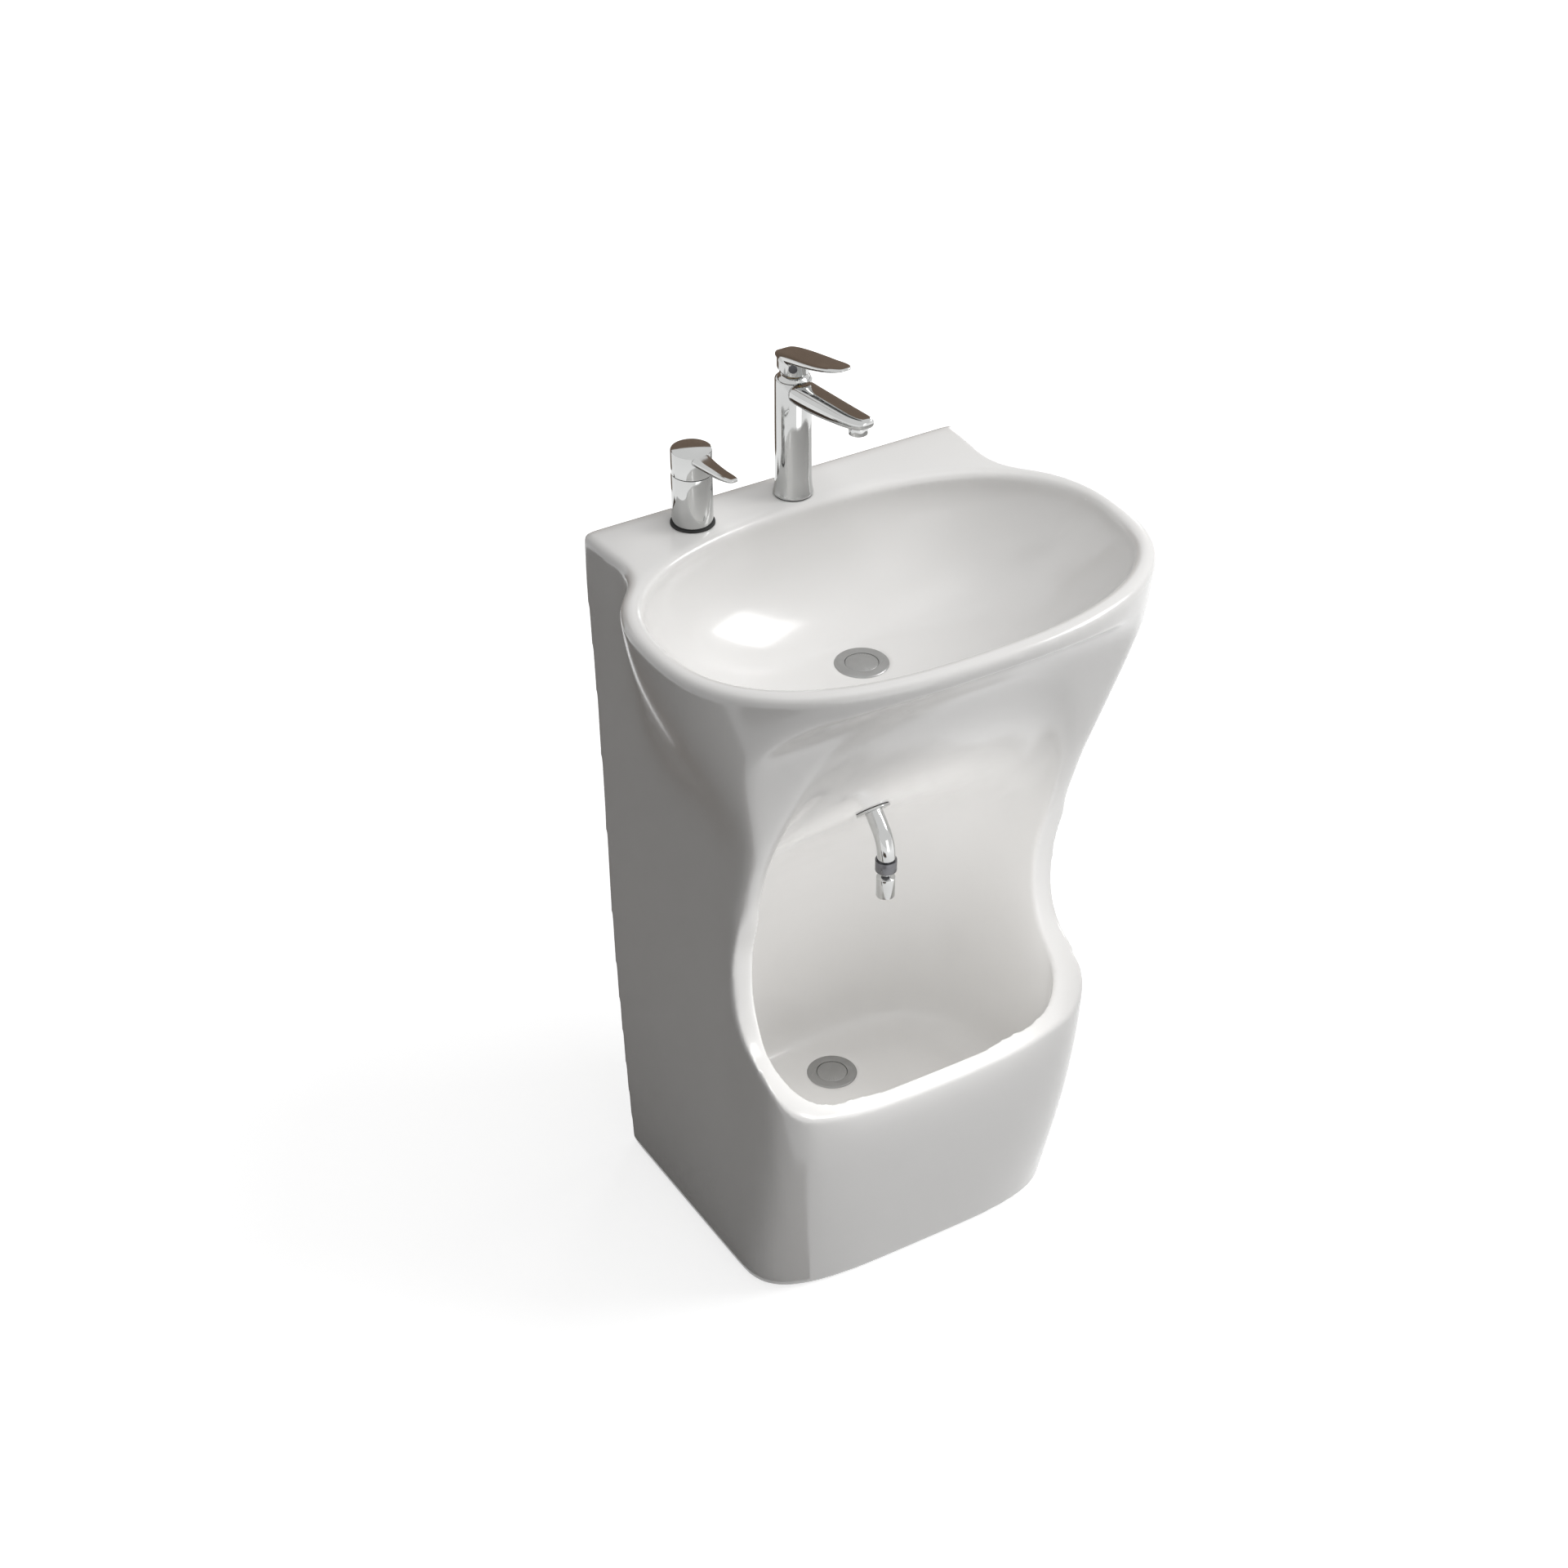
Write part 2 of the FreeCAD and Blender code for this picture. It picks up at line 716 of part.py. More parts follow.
def alcove_wire(height, grow, inset):
    floor = size.alcove_floor_height
    share = max((height - floor) / (size.brow_height - floor), 0.0)
    side = side_half_width(size.front_wall_height) - size.side_narrowing - size.band_width
    fill = size.side_fill if grow else 0.0
    half = side * interpolate(ARCH_SHARES, share) + fill + grow - inset
    back = curve_at_height(ceiling_curve(), max(height, floor))[0].y + grow - inset
    inner_front = base_front(height) + size.front_wall_thickness
    middle = min(waist_at_height(height) - size.side_margin, size.oval_centre)
    middle = min(middle, back - size.side_margin - grow)
    front = min(inner_front, middle - size.side_margin * 2) - grow + inset
    points = []
    steps = 32
    for i in range(steps):
        angle = 2 * math.pi * i / steps
        if angle < math.pi:
            radius = superellipse(angle, half, back - middle, ALCOVE_BACK_POWER)
        else:
            radius = superellipse(angle, half, middle - front, ALCOVE_FRONT_POWER)
        points.append(Vector(radius * math.cos(angle), middle + radius * math.sin(angle), height))
    return closed_curve(points)


def alcove_solid(grow):
    floor = size.alcove_floor_height
    rise = size.brow_height - floor
    wires = []
    corner = size.alcove_floor_round
    for share in (0, 0.15, 0.5):
        up = corner * share
        inset = corner - math.sqrt(corner ** 2 - (corner - up) ** 2)
        wires.append(alcove_wire(floor - grow + up, grow, inset))
    for share in ALCOVE_LEVEL_SHARES:
        wires.append(alcove_wire(floor + rise * share + grow * share ** 4, grow, 0.0))
    return Part.makeLoft(wires, True)


def rod(radius, start, end):
    along = end - start
    return Part.makeCylinder(radius, along.Length, start, along)


def main_solid(shape):
    return sorted(shape.Solids, key=lambda solid: solid.Volume)[-1]


seat, slope = curve_at_height(ceiling_curve(), size.spout_seat_height)
spout_normal = Vector(0, slope.z, -slope.y)
if spout_normal.y > 0:
    spout_normal = spout_normal * -1


def ceramic_shape():
    down = Vector(0, 0, -1)
    hollow = inner_solid()
    body = outer_solid()
    for make in (waist_solid, bowl_solid, alcove_solid):
        hollow = main_solid(hollow.cut(make(size.wall)))
        body = main_solid(body.cut(make(0.0)))
    body = main_solid(body.cut(hollow))
    face = seat - spout_normal * size.wall
    body = body.fuse(rod(size.spout_pad_radius, seat, face))
    tools = [rod(size.spout_pad_radius, seat, seat + spout_normal * size.overrun)]
    tools.append(rod(size.spout_pad_radius, face, face - spout_normal * size.overrun))
    hole = size.arm_radius + size.arm_hole_gap
    tools.append(rod(hole, seat + spout_normal * size.overrun, face - spout_normal * size.overrun))
    drains = ((size.bowl_drain_y, size.bowl_floor_height), (size.foot_drain_y, size.alcove_floor_height))
    for y, floor in drains:
        top = Vector(0, y, floor + size.overrun)
        recess = size.waste_flange_radius + size.waste_recess_gap
        tools.append(rod(recess, top, Vector(0, y, floor - size.waste_recess)))
        hole = size.waste_thread_radius + size.waste_hole_gap
        tools.append(rod(hole, top, top + down * (2 * size.overrun + size.wall)))
    for x in (0.0, size.valve_x):
        top = Vector(x, size.tap_y, size.deck_height + size.overrun)
        tools.append(rod(size.tap_hole_radius, top, top + down * (2 * size.overrun + size.wall)))
    return main_solid(body.cut(tools))


def between(shape, low, high):
    """The part of a shape between two heights, cut off flat at both and at the back face."""
    reach = size.body_width + size.body_depth
    slab = Part.makeBox(reach, reach, high - low, Vector(-reach / 2, size.back_face - reach, low))
    return main_solid(shape.common(slab))


# Ceramic castings, stuck together before they are glazed: foot basin, column and hand basin

ceramic = ceramic_shape()
foot_basin = between(ceramic, -size.overrun, size.lower_seam_height)
column = between(ceramic, size.lower_seam_height, size.upper_seam_height)
hand_basin = between(ceramic, size.upper_seam_height, size.deck_height + size.overrun)
node(shaped("foot_basin_casting", foot_basin), "foot_basin_casting")
node(shaped("column_casting", column), "column_casting")
node(shaped("hand_basin_casting", hand_basin), "hand_basin_casting")


# Push-down wastes: one in the bowl, one in the alcove's floor, each seated on its recess


def waste_fittings(drain, y, z):
    body = turned(drain + "_waste_body", [
        ("waste_bore_radius", "-waste_length"), ("waste_thread_radius", "-waste_length"),
        ("waste_thread_radius", "waste_seal_thickness"), ("waste_flange_radius", "waste_seal_thickness"),
        ("waste_flange_radius", "waste_flange_top - waste_flange_bevel"),
        ("waste_flange_radius - waste_flange_bevel", "waste_flange_top"),
        ("plug_radius + running_gap", "waste_flange_top"), ("plug_radius + running_gap", "plug_ledge"),
        ("waste_bore_radius", "plug_ledge - waste_flange_bevel")])
    node(place(body, y=y, z=z), drain + "_waste_body")
    plug = turned(drain + "_plug", [
        ("0", "-plug_stem_length"), ("plug_stem_radius", "-plug_stem_length"),
        ("plug_stem_radius", "plug_underside"), ("plug_radius", "plug_underside"),
        ("plug_radius", "waste_flange_top - plug_crown"),
        ("plug_radius - waste_flange_bevel", "waste_flange_top"),
        ("plug_radius / 2", "waste_flange_top + plug_crown"), ("0", "waste_flange_top + plug_crown * 1.3")])
    node(place(plug, y=y, z=z), drain + "_plug")
    core = turned(drain + "_plug_holder_core", [
        ("0", "plug_holder_bottom"), ("plug_holder_radius", "plug_holder_bottom"),
        ("plug_holder_radius", "plug_holder_top"), ("plug_stem_radius + running_gap", "plug_holder_top"),
        ("plug_stem_radius + running_gap", "plug_holder_bottom + plug_holder_floor"),
        ("0", "plug_holder_bottom + plug_holder_floor")])
    arms = []
    for i in range(3):
        arm = block("%s_plug_holder_arm_%d" % (drain, i + 1), "waste_bore_radius - plug_stem_radius * 1.5",
                    "plug_arm_width", "plug_arm_height", "plug_holder_bottom")
        arm.setExpression("Placement.Base.x", bound("plug_stem_radius * 1.4"))
        spoke = doc.addObject("Part::Compound", "%s_plug_holder_spoke_%d" % (drain, i + 1))
        spoke.Links = [arm]
        spoke.Placement = FreeCAD.Placement(Vector(), FreeCAD.Rotation(Vector(0, 0, 1), 120 * i + 30))
        arms.append(spoke)
    holder = fuse(drain + "_plug_holder", [core] + arms)
    node(place(holder, y=y, z=z), drain + "_plug_holder")


def pair(label, make):
    """The same loose piece at both wastes, as one node."""
    upper = place(make(label + "_bowl"), y="bowl_drain_y", z="bowl_seat")
    lower = place(make(label + "_foot"), y="foot_drain_y", z="foot_seat")
    node(group(label, [upper, lower]), label)


waste_fittings("bowl", "bowl_drain_y", "bowl_seat")
waste_fittings("foot", "foot_drain_y", "foot_seat")
pair("waste_seals", lambda label: ring(
    label, "waste_flange_radius - waste_flange_bevel", "waste_thread_radius + fit_gap", "0",
    "waste_seal_thickness"))
pair("waste_washers", lambda label: ring(
    label, "waste_washer_radius", "waste_thread_radius + fit_gap",
    "waste_underside - waste_washer_thickness", "waste_underside"))
pair("waste_locknuts", lambda label: hex_nut(
    label, "waste_locknut_flats", "waste_thread_radius + fit_gap",
    "waste_underside - waste_washer_thickness - waste_locknut_thickness", "waste_locknut_thickness"))
pair("slip_washers", lambda label: ring(
    label, "waste_thread_radius", "waste_pipe_radius + fit_gap",
    "-waste_length - slip_washer_thickness", "-waste_length"))
pair("slip_nuts", lambda label: turned(label, [
    ("waste_pipe_radius + running_gap", "slip_nut_bottom"),
    ("slip_nut_radius - slip_nut_wall / 2", "slip_nut_bottom"),
    ("slip_nut_radius", "slip_nut_bottom + slip_nut_wall / 2"),
    ("slip_nut_radius", "slip_nut_bottom + slip_nut_length"),
    ("slip_nut_bore", "slip_nut_bottom + slip_nut_length"),
    ("slip_nut_bore", "slip_nut_bottom + slip_nut_lip"),
    ("waste_pipe_radius + running_gap", "slip_nut_bottom + slip_nut_lip")]))


# Pipes: straight runs joined by tangent arcs


def bent_path(points, radii):
    edges = []
    start = points[0]
    for i in range(1, len(points) - 1):
        corner = points[i]
        before = (start - corner).normalize()
        after = (points[i + 1] - corner).normalize()
        half_turn = (math.pi - before.getAngle(after)) / 2
        reach = radii[i - 1] * math.tan(half_turn)
        into = corner + before * reach
        out = corner + after * reach
        bisector = (before + after).normalize()
        middle = corner + bisector * (radii[i - 1] / math.cos(half_turn) - radii[i - 1])
        edges.append(Part.LineSegment(start, into).toShape())
        edges.append(Part.Arc(into, middle, out).toShape())
        start = out
    edges.append(Part.LineSegment(start, points[-1]).toShape())
    return Part.Wire(edges)


def pipe(points, radii, outer, inner):
    path = bent_path(points, radii)
    direction = points[1] - points[0]
    walls = []
    for radius in (outer, inner):
        section = Part.Wire(Part.makeCircle(radius, points[0], direction))
        walls.append(path.makePipeShell([section], True, False))
    return walls[0].cut(walls[1])


def bowl_pipe_points():
    top = size.bowl_seat - size.waste_length + size.waste_pipe_socket
    upper_bend = size.bowl_seat - size.waste_length - size.bowl_pipe_drop
    across = size.riser_y - size.bowl_drain_y
    end = size.drain_line_height + size.tee_reach - size.tee_stop
    return [Vector(0, size.bowl_drain_y, top), Vector(0, size.bowl_drain_y, upper_bend),
            Vector(0, size.riser_y, upper_bend - across), Vector(0, size.riser_y, end)]


def foot_pipe_points():
    top = size.foot_seat - size.waste_length + size.waste_pipe_socket
    level = size.drain_line_height
    return [Vector(0, size.foot_drain_y, top), Vector(0, size.foot_drain_y, level),
            Vector(0, size.riser_y - size.tee_reach + size.tee_stop, level)]


def tee_shape():
    """A pipe tee: the run goes back to the wall face, the branch takes the pipe from the bowl."""
    bore = size.waste_pipe_radius + size.fit_gap
    outer = bore + size.tee_wall
    passage = size.waste_pipe_radius - size.waste_pipe_wall
    centre = Vector(0, size.riser_y, size.drain_line_height)
    front = centre - Vector(0, size.tee_reach, 0)
    back = Vector(0, size.back_face - size.running_gap, size.drain_line_height)
    top = centre + Vector(0, 0, size.tee_reach)
    grip = Vector(0, size.tee_stop, 0)
    body = rod(outer, front, back).fuse(rod(outer, centre, top))
    tools = [rod(passage, front, back), rod(passage, centre, top), rod(bore, front, front + grip)]
    tools.append(rod(bore, back, back - grip))
    tools.append(rod(bore, top, top - Vector(0, 0, size.tee_stop)))
    return body.cut(tools)


inner_pipe = size.waste_pipe_radius - size.waste_pipe_wall
node(shaped("bowl_waste_pipe", pipe(bowl_pipe_points(), [size.pipe_bend_radius] * 2, size.waste_pipe_radius,
                                    inner_pipe)), "bowl_waste_pipe")
node(shaped("foot_waste_elbow", pipe(foot_pipe_points(), [size.elbow_bend_radius], size.waste_pipe_radius,
                                     inner_pipe)), "foot_waste_elbow")
node(shaped("waste_tee", tee_shape()), "waste_tee")


# Fixings under the deck, the same for both taps


def at_taps(label, make):
    mixer_one = place(make(label + "_mixer"), y="tap_y", z="deck_height")
    valve_one = place(make(label + "_valve"), x="valve_x", y="tap_y", z="deck_height")
    node(group(label, [mixer_one, valve_one]), label)


def flat_fronted(label, bottom, thickness):
    """A washer with its front cut flat, clear of the bowl."""
    disc = cylinder(label + "_disc", "clamp_radius", bottom, thickness)
    hole = cylinder(label + "_hole", "tap_shank_radius + fit_gap", "%s - overrun" % bottom, "2 * overrun")
    front = block(label + "_front", "2 * clamp_radius", "clamp_radius", "2 * overrun", "%s - overrun" % bottom,
                  y="-clamp_front_reach - clamp_radius / 2")
    return cut(label, disc, [hole, front])


at_taps("tap_shanks", lambda label: ring(
    label, "tap_shank_radius", "tap_shank_bore", "tap_shank_bottom", "tap_shank_grip"))
at_taps("clamp_rubbers",
        lambda label: flat_fronted(label, "-wall - clamp_rubber_thickness", "clamp_rubber_thickness"))
at_taps("clamp_plates", lambda label: flat_fronted(label, "clamp_bottom", "clamp_plate_thickness"))
at_taps("clamp_nuts", lambda label: hex_nut(
    label, "clamp_nut_flats", "tap_shank_radius + fit_gap", "clamp_bottom - clamp_nut_thickness",
    "clamp_nut_thickness"))


# Basin mixer: free-form pieces are made about the tap's own axis, with forward along -Y


def oblong_wire(reach, bottom, top, half_width, power=3.5):
    """A rounded section across the spout or lever, at one reach in front of the axis."""
    points = []
    steps = 24
    for i in range(steps):
        angle = 2 * math.pi * (i + 0.5) / steps
        radius = superellipse(angle, half_width, (top - bottom) / 2, power)
        points.append(Vector(radius * math.cos(angle), -reach, (bottom + top) / 2 + radius * math.sin(angle)))
    return closed_curve(points)


# shares of the reach, of the rise along the underside and along the top, and of the root's half width
SPOUT_SHARES = ((0, 0, 0, 1), (0.3, 0.12, 0.25, 0.97), (0.6, 0.38, 0.55, 0.9), (0.82, 0.62, 0.82, 0.84),
                (0.94, 0.82, 0.95, 0.68), (1, 1, 1, 0.42))
LEVER_SHARES = ((-1, 0, 0.45, 0.55), (-0.4, 0.0, 0.85, 0.95), (0.1, 0.12, 1, 1), (0.45, 0.42, 0.8, 1),
                (0.78, 0.74, 0.62, 0.88), (0.94, 0.92, 0.48, 0.62), (1, 1, 0.3, 0.36))


def spout_shape():
    wires = []
    top = size.mixer_body_height
    bottom = size.spout_root_bottom
    tip_depth = size.spout_root_depth / 3
    for reach_share, under_share, top_share, width_share in SPOUT_SHARES:
        high = top + size.spout_tip_rise * top_share
        low = bottom + (top + size.spout_tip_rise - tip_depth - bottom) * under_share
        half_width = size.spout_root_half_width * width_share
        wires.append(oblong_wire(size.spout_reach * reach_share, low, high, half_width))
    return Part.makeLoft(wires, True, True)


def mixer_body_shape():
    up = Vector(0, 0, 1)
    base = size.mixer_gasket_thickness
    flare = size.mixer_flare_height
    steps = ((size.mixer_foot_radius, base), (size.mixer_foot_radius, base + flare / 8),
             (size.mixer_body_radius + (size.mixer_foot_radius - size.mixer_body_radius) / 3, flare / 2),
             (size.mixer_body_radius, flare), (size.mixer_body_radius, size.mixer_body_height))
    corners = [Vector(0, 0, base)]
    for radius, height in steps:
        corners.append(Vector(radius, 0, height))
    corners.append(Vector(0, 0, size.mixer_body_height))
    corners.append(corners[0])
    column = Part.Face(Part.makePolygon(corners)).revolve(Vector(), up, 360)
    body = column.fuse(spout_shape())
    floor = Vector(0, 0, size.mixer_cartridge_height)
    under = Vector(0, 0, size.mixer_partition_bottom)
    above = floor + up * (size.mixer_body_height + size.overrun)
    tools = [rod(size.cartridge_radius + size.fit_gap, floor, above)]
    tools.append(rod(size.tap_shank_radius + size.fit_gap, Vector(), under))
    for side in (-1, 1):
        tail = Vector(side * size.tail_spread, 0, 0)
        grip_top = under + tail + up * size.tail_grip
        tools.append(rod(size.tail_grip_radius + size.fit_gap, under + tail, grip_top))
        tools.append(rod(size.tail_bore, under + tail, floor + tail))
    mouth = Vector(0, -size.aerator_reach, size.aerator_bottom)
    roof = mouth + up * size.aerator_length
    tools.append(rod(size.aerator_radius + size.fit_gap, mouth - up * size.overrun, roof))
    chamber_top = size.mixer_cartridge_height + size.mixer_cartridge_length
    start = Vector(0, 0, chamber_top - size.spout_channel_radius * 2)
    tools.append(rod(size.spout_channel_radius, start, roof - up * size.spout_channel_radius))
    return main_solid(body.cut(tools))


def at_mixer(shape):
    shape.translate(Vector(0, size.tap_y, size.deck_height))
    return shape


def turned_mixer(label, outline):
    return node(place(turned(label, outline), y="tap_y", z="deck_height"), label)


INDEX_TURN = 33.0


def index_direction():
    """The lever's index button looks forward and to the left."""
    turn = math.radians(INDEX_TURN)
    return Vector(-math.sin(turn), -math.cos(turn), 0)


def lever_shape():
    wires = []
    rise = size.lever_rise
    for reach_share, rise_share, depth_share, width_share in LEVER_SHARES:
        reach = (size.lever_reach if reach_share > 0 else size.lever_overhang) * reach_share
        bottom = size.lever_heel_height + rise * rise_share
        top = bottom + size.lever_thickness * depth_share
        wires.append(oblong_wire(reach, bottom, top, size.lever_half_width * width_share, 2.6))
    paddle = Part.makeLoft(wires, True, True)
    nut_top = size.mixer_body_height + size.mixer_nut_dome
    front = nut_top + size.lever_front_gap
    back = nut_top + size.lever_back_gap
    hub = rod(size.lever_hub_radius, Vector(0, 0, nut_top), Vector(0, 0, size.lever_hub_top))
    radius = size.lever_hub_radius + size.overrun
    slope = (back - front) / (2 * size.lever_hub_radius)
    middle = (front + back) / 2
    corners = [Vector(-radius, -radius, middle - slope * radius), Vector(-radius, radius, middle + slope * radius),
               Vector(-radius, radius, 0), Vector(-radius, -radius, 0)]
    corners.append(corners[0])
    under = Part.Face(Part.makePolygon(corners)).extrude(Vector(2 * radius, 0, 0))
    hub = hub.cut(under)
    lever = paddle.fuse(hub)
    half = size.spindle_width / 2 + size.fit_gap
    socket_top = size.mixer_pivot_height + size.spindle_length - size.spindle_tail + size.fit_gap
    socket = Part.makeBox(2 * half, 2 * half, socket_top, Vector(-half, -half, 0))
    out = index_direction()
    middle = Vector(0, 0, size.index_height)
    face = middle + out * (size.lever_hub_radius - size.index_thickness + size.index_proud)
    tools = [socket, rod(size.index_radius + size.fit_gap, face, face + out * size.overrun)]
    tools.append(rod(size.grub_radius + size.fit_gap, middle, face))
    return main_solid(lever.cut(tools))


def spindle_shape():
    half = size.spindle_width / 2
    low = size.mixer_pivot_height - size.spindle_tail
    stem = Part.makeBox(2 * half, 2 * half, size.spindle_length, Vector(-half, -half, low))
    reach = size.mixer_rotor_radius
    pivot = Vector(-reach, 0, size.mixer_pivot_height)
    return stem.fuse(rod(size.trunnion_radius, pivot, pivot + Vector(2 * reach, 0, 0)))


def rotor_shape():
    """The part of the cartridge that turns with the lever, slotted for the spindle's swing."""
    low = Vector(0, 0, size.mixer_cartridge_top + size.running_gap)
    high = Vector(0, 0, size.mixer_rotor_top)
    half = size.spindle_width / 2 + size.running_gap
    swing = size.mixer_rotor_radius * 0.8
    floor = size.mixer_pivot_height - size.spindle_tail - size.running_gap * 3
    slot = Part.makeBox(2 * half, 2 * swing, size.mixer_body_height, Vector(-half, -swing, floor))
    reach = size.mixer_rotor_radius + size.overrun
    pivot = Vector(-reach, 0, size.mixer_pivot_height)
    pin = rod(size.trunnion_radius + size.fit_gap / 2, pivot, pivot + Vector(2 * reach, 0, 0))
    return rod(size.mixer_rotor_radius, low, high).cut([slot, pin])


def radial_pair(out, height, hub_radius, inner):
    """The index button in its seat, and the grub screw behind it."""
    middle = Vector(0, 0, height)
    seat_at = hub_radius - size.index_thickness + size.index_proud
    button = rod(size.index_radius, middle + out * (seat_at + size.fit_gap),
                 middle + out * (hub_radius + size.index_proud))
    tip = middle + out * (inner + size.fit_gap)
    return button, rod(size.grub_radius, tip, tip + out * size.grub_length)


node(place(ring("mixer_gasket", "mixer_foot_radius - mixer_gasket_thickness", "tap_shank_radius + fit_gap", "0",
                "mixer_gasket_thickness"), y="tap_y", z="deck_height"), "mixer_gasket")
node(shaped("mixer_body", at_mixer(mixer_body_shape())), "mixer_body")
turned_mixer("mixer_cartridge", [
    ("0", "mixer_cartridge_height + fit_gap"), ("cartridge_radius", "mixer_cartridge_height + fit_gap"),
    ("cartridge_radius", "mixer_nut_bottom"), ("cartridge_cup_radius", "mixer_nut_bottom"),
    ("cartridge_cup_radius", "mixer_cartridge_top"), ("0", "mixer_cartridge_top")])
turned_mixer("mixer_cartridge_nut", [
    ("cartridge_cup_radius", "mixer_nut_bottom"), ("cartridge_radius", "mixer_nut_bottom"),
    ("cartridge_radius", "mixer_body_height + mixer_nut_dome / 5"),
    ("mixer_nut_top_radius + mixer_nut_dome / 3", "mixer_body_height + mixer_nut_dome * 0.7"),
    ("mixer_nut_top_radius", "mixer_body_height + mixer_nut_dome"),
    ("cartridge_cup_radius", "mixer_body_height + mixer_nut_dome")])
node(shaped("mixer_rotor", at_mixer(rotor_shape())), "mixer_rotor")
node(shaped("mixer_spindle", at_mixer(spindle_shape())), "mixer_spindle")
node(shaped("mixer_lever", at_mixer(lever_shape())), "mixer_lever")
across = index_direction()
mixer_button, mixer_grub = radial_pair(across, size.index_height, size.lever_hub_radius,
                                       size.spindle_width / 2 * (abs(across.x) + abs(across.y)))
node(shaped("mixer_index_button", at_mixer(mixer_button)), "mixer_index_button")
node(shaped("mixer_lever_screw", at_mixer(mixer_grub)), "mixer_lever_screw")
aerator = turned("mixer_aerator", [
    ("aerator_radius - aerator_wall - aerator_lip", "0"), ("aerator_radius - aerator_lip / 4", "0"),
    ("aerator_radius", "aerator_lip / 4"), ("aerator_radius", "aerator_length - fit_gap"),
    ("aerator_radius - aerator_wall", "aerator_length - fit_gap"),
    ("aerator_radius - aerator_wall", "aerator_lip"),
    ("aerator_radius - aerator_wall - aerator_lip", "aerator_lip")])
node(place(aerator, y="tap_y - aerator_reach", z="deck_height + aerator_bottom"), "mixer_aerator")
screen = turned("mixer_aerator_insert", [
    ("0", "aerator_lip + fit_gap"), ("aerator_radius - aerator_wall - fit_gap", "aerator_lip + fit_gap"),
    ("aerator_radius - aerator_wall - fit_gap", "aerator_length / 2"), ("0", "aerator_length / 2")])
node(place(screen, y="tap_y - aerator_reach", z="deck_height + aerator_bottom"), "mixer_aerator_insert")


def tail(label, x, socket, length):
    """A copper tail: its thicker end is held in the tap, its plain end stops under the deck."""
    piece = turned(label, [
        ("tail_bore", "tail_grip - %s" % length), ("tail_radius", "tail_grip - %s" % length),
        ("tail_radius", "%s - tail_shoulder * 2" % socket),
        ("tail_grip_radius", "%s - tail_shoulder" % socket),
        ("tail_grip_radius", "%s + tail_grip" % socket), ("tail_bore", "%s + tail_grip" % socket)])
    return node(place(piece, x=x, y="tap_y", z="deck_height"), label)


tail("mixer_hot_tail", "-tail_spread", "mixer_partition_bottom", "supply_tail_length")
tail("mixer_cold_tail", "tail_spread", "mixer_partition_bottom", "supply_tail_length")


# Foot valve: a quarter-turn valve under a round handle


def turned_valve(label, outline):
    return node(place(turned(label, outline), x="valve_x", y="tap_y", z="deck_height"), label)


def at_valve(shape):
    shape.translate(Vector(size.valve_x, size.tap_y, size.deck_height))
    return shape


def valve_body_shape():
    up = Vector(0, 0, 1)
    top = Vector(0, 0, size.valve_body_height)
    floor = Vector(0, 0, size.valve_cartridge_floor)
    under = Vector(0, 0, size.valve_partition_bottom)
    body = rod(size.valve_radius, Vector(0, 0, size.valve_gasket_thickness), top)
    tools = [rod(size.cartridge_radius + size.fit_gap, floor, top + up * size.overrun)]
    tools.append(rod(size.tap_shank_radius + size.fit_gap, Vector(), under))
    for side in (-1, 1):
        start = under + Vector(side * size.tail_spread, 0, 0)
        tools.append(rod(size.tail_grip_radius + size.fit_gap, start, start + up * size.tail_grip))
        tools.append(rod(size.tail_bore, start, floor + Vector(side * size.tail_spread, 0, 0)))
    return body.cut(tools)


VALVE_LEVER_SHARES = ((0, 0.0, 1, 1.5), (0.35, 0.12, 0.95, 1.15), (0.6, 0.3, 0.75, 0.95),
                      (0.85, 0.7, 0.55, 0.85), (0.96, 0.93, 0.42, 0.7), (1, 1, 0.3, 0.45))


def valve_handle_shape():
    wires = []
    low = size.valve_handle_top - size.valve_lever_thickness
    span = size.valve_lever_reach - size.valve_lever_root
    for reach_share, rise_share, depth_share, width_share in VALVE_LEVER_SHARES:
        bottom = low + size.valve_lever_rise * rise_share
        top = bottom + size.valve_lever_thickness * depth_share - size.running_gap
        wires.append(oblong_wire(size.valve_lever_root + span * reach_share, bottom, top,
                                 size.valve_lever_half_width * width_share, 2.6))
    lever = Part.makeLoft(wires, True, True)
    bottom = Vector(0, 0, size.valve_handle_bottom)
    top = Vector(0, 0, size.valve_handle_top)
    roof = Vector(0, 0, size.valve_handle_top - size.valve_handle_roof)
    cap = rod(size.valve_radius, bottom, top)
    edge = cap.Edges[0] if cap.Edges[0].CenterOfMass.z > cap.Edges[-1].CenterOfMass.z else cap.Edges[-1]
    cap = cap.makeFillet(size.foot_round / 4, [edge])
    hollow = rod(size.valve_radius - size.valve_handle_wall, bottom, roof)
    hollow = hollow.cut(rod(size.valve_boss_radius, bottom, roof))
    boss_bottom = Vector(0, 0, size.valve_handle_bottom + size.valve_lever_thickness / 2)
    clear = rod(size.valve_radius - size.valve_handle_wall, bottom, boss_bottom)
    handle = cap.fuse(lever).cut([hollow, clear])
    spindle_top = size.valve_headwork_top + size.valve_spindle_length
    tools = [rod(size.valve_spindle_radius + size.fit_gap, bottom, Vector(0, 0, spindle_top + size.fit_gap))]
    back = Vector(0, 1, 0)
    middle = Vector(0, 0, size.valve_handle_top - size.valve_lever_thickness)
    outside = middle + back * (size.valve_radius + size.overrun)
    tools.append(rod(size.grub_radius + size.fit_gap, middle, outside))
    return main_solid(handle.cut(tools))


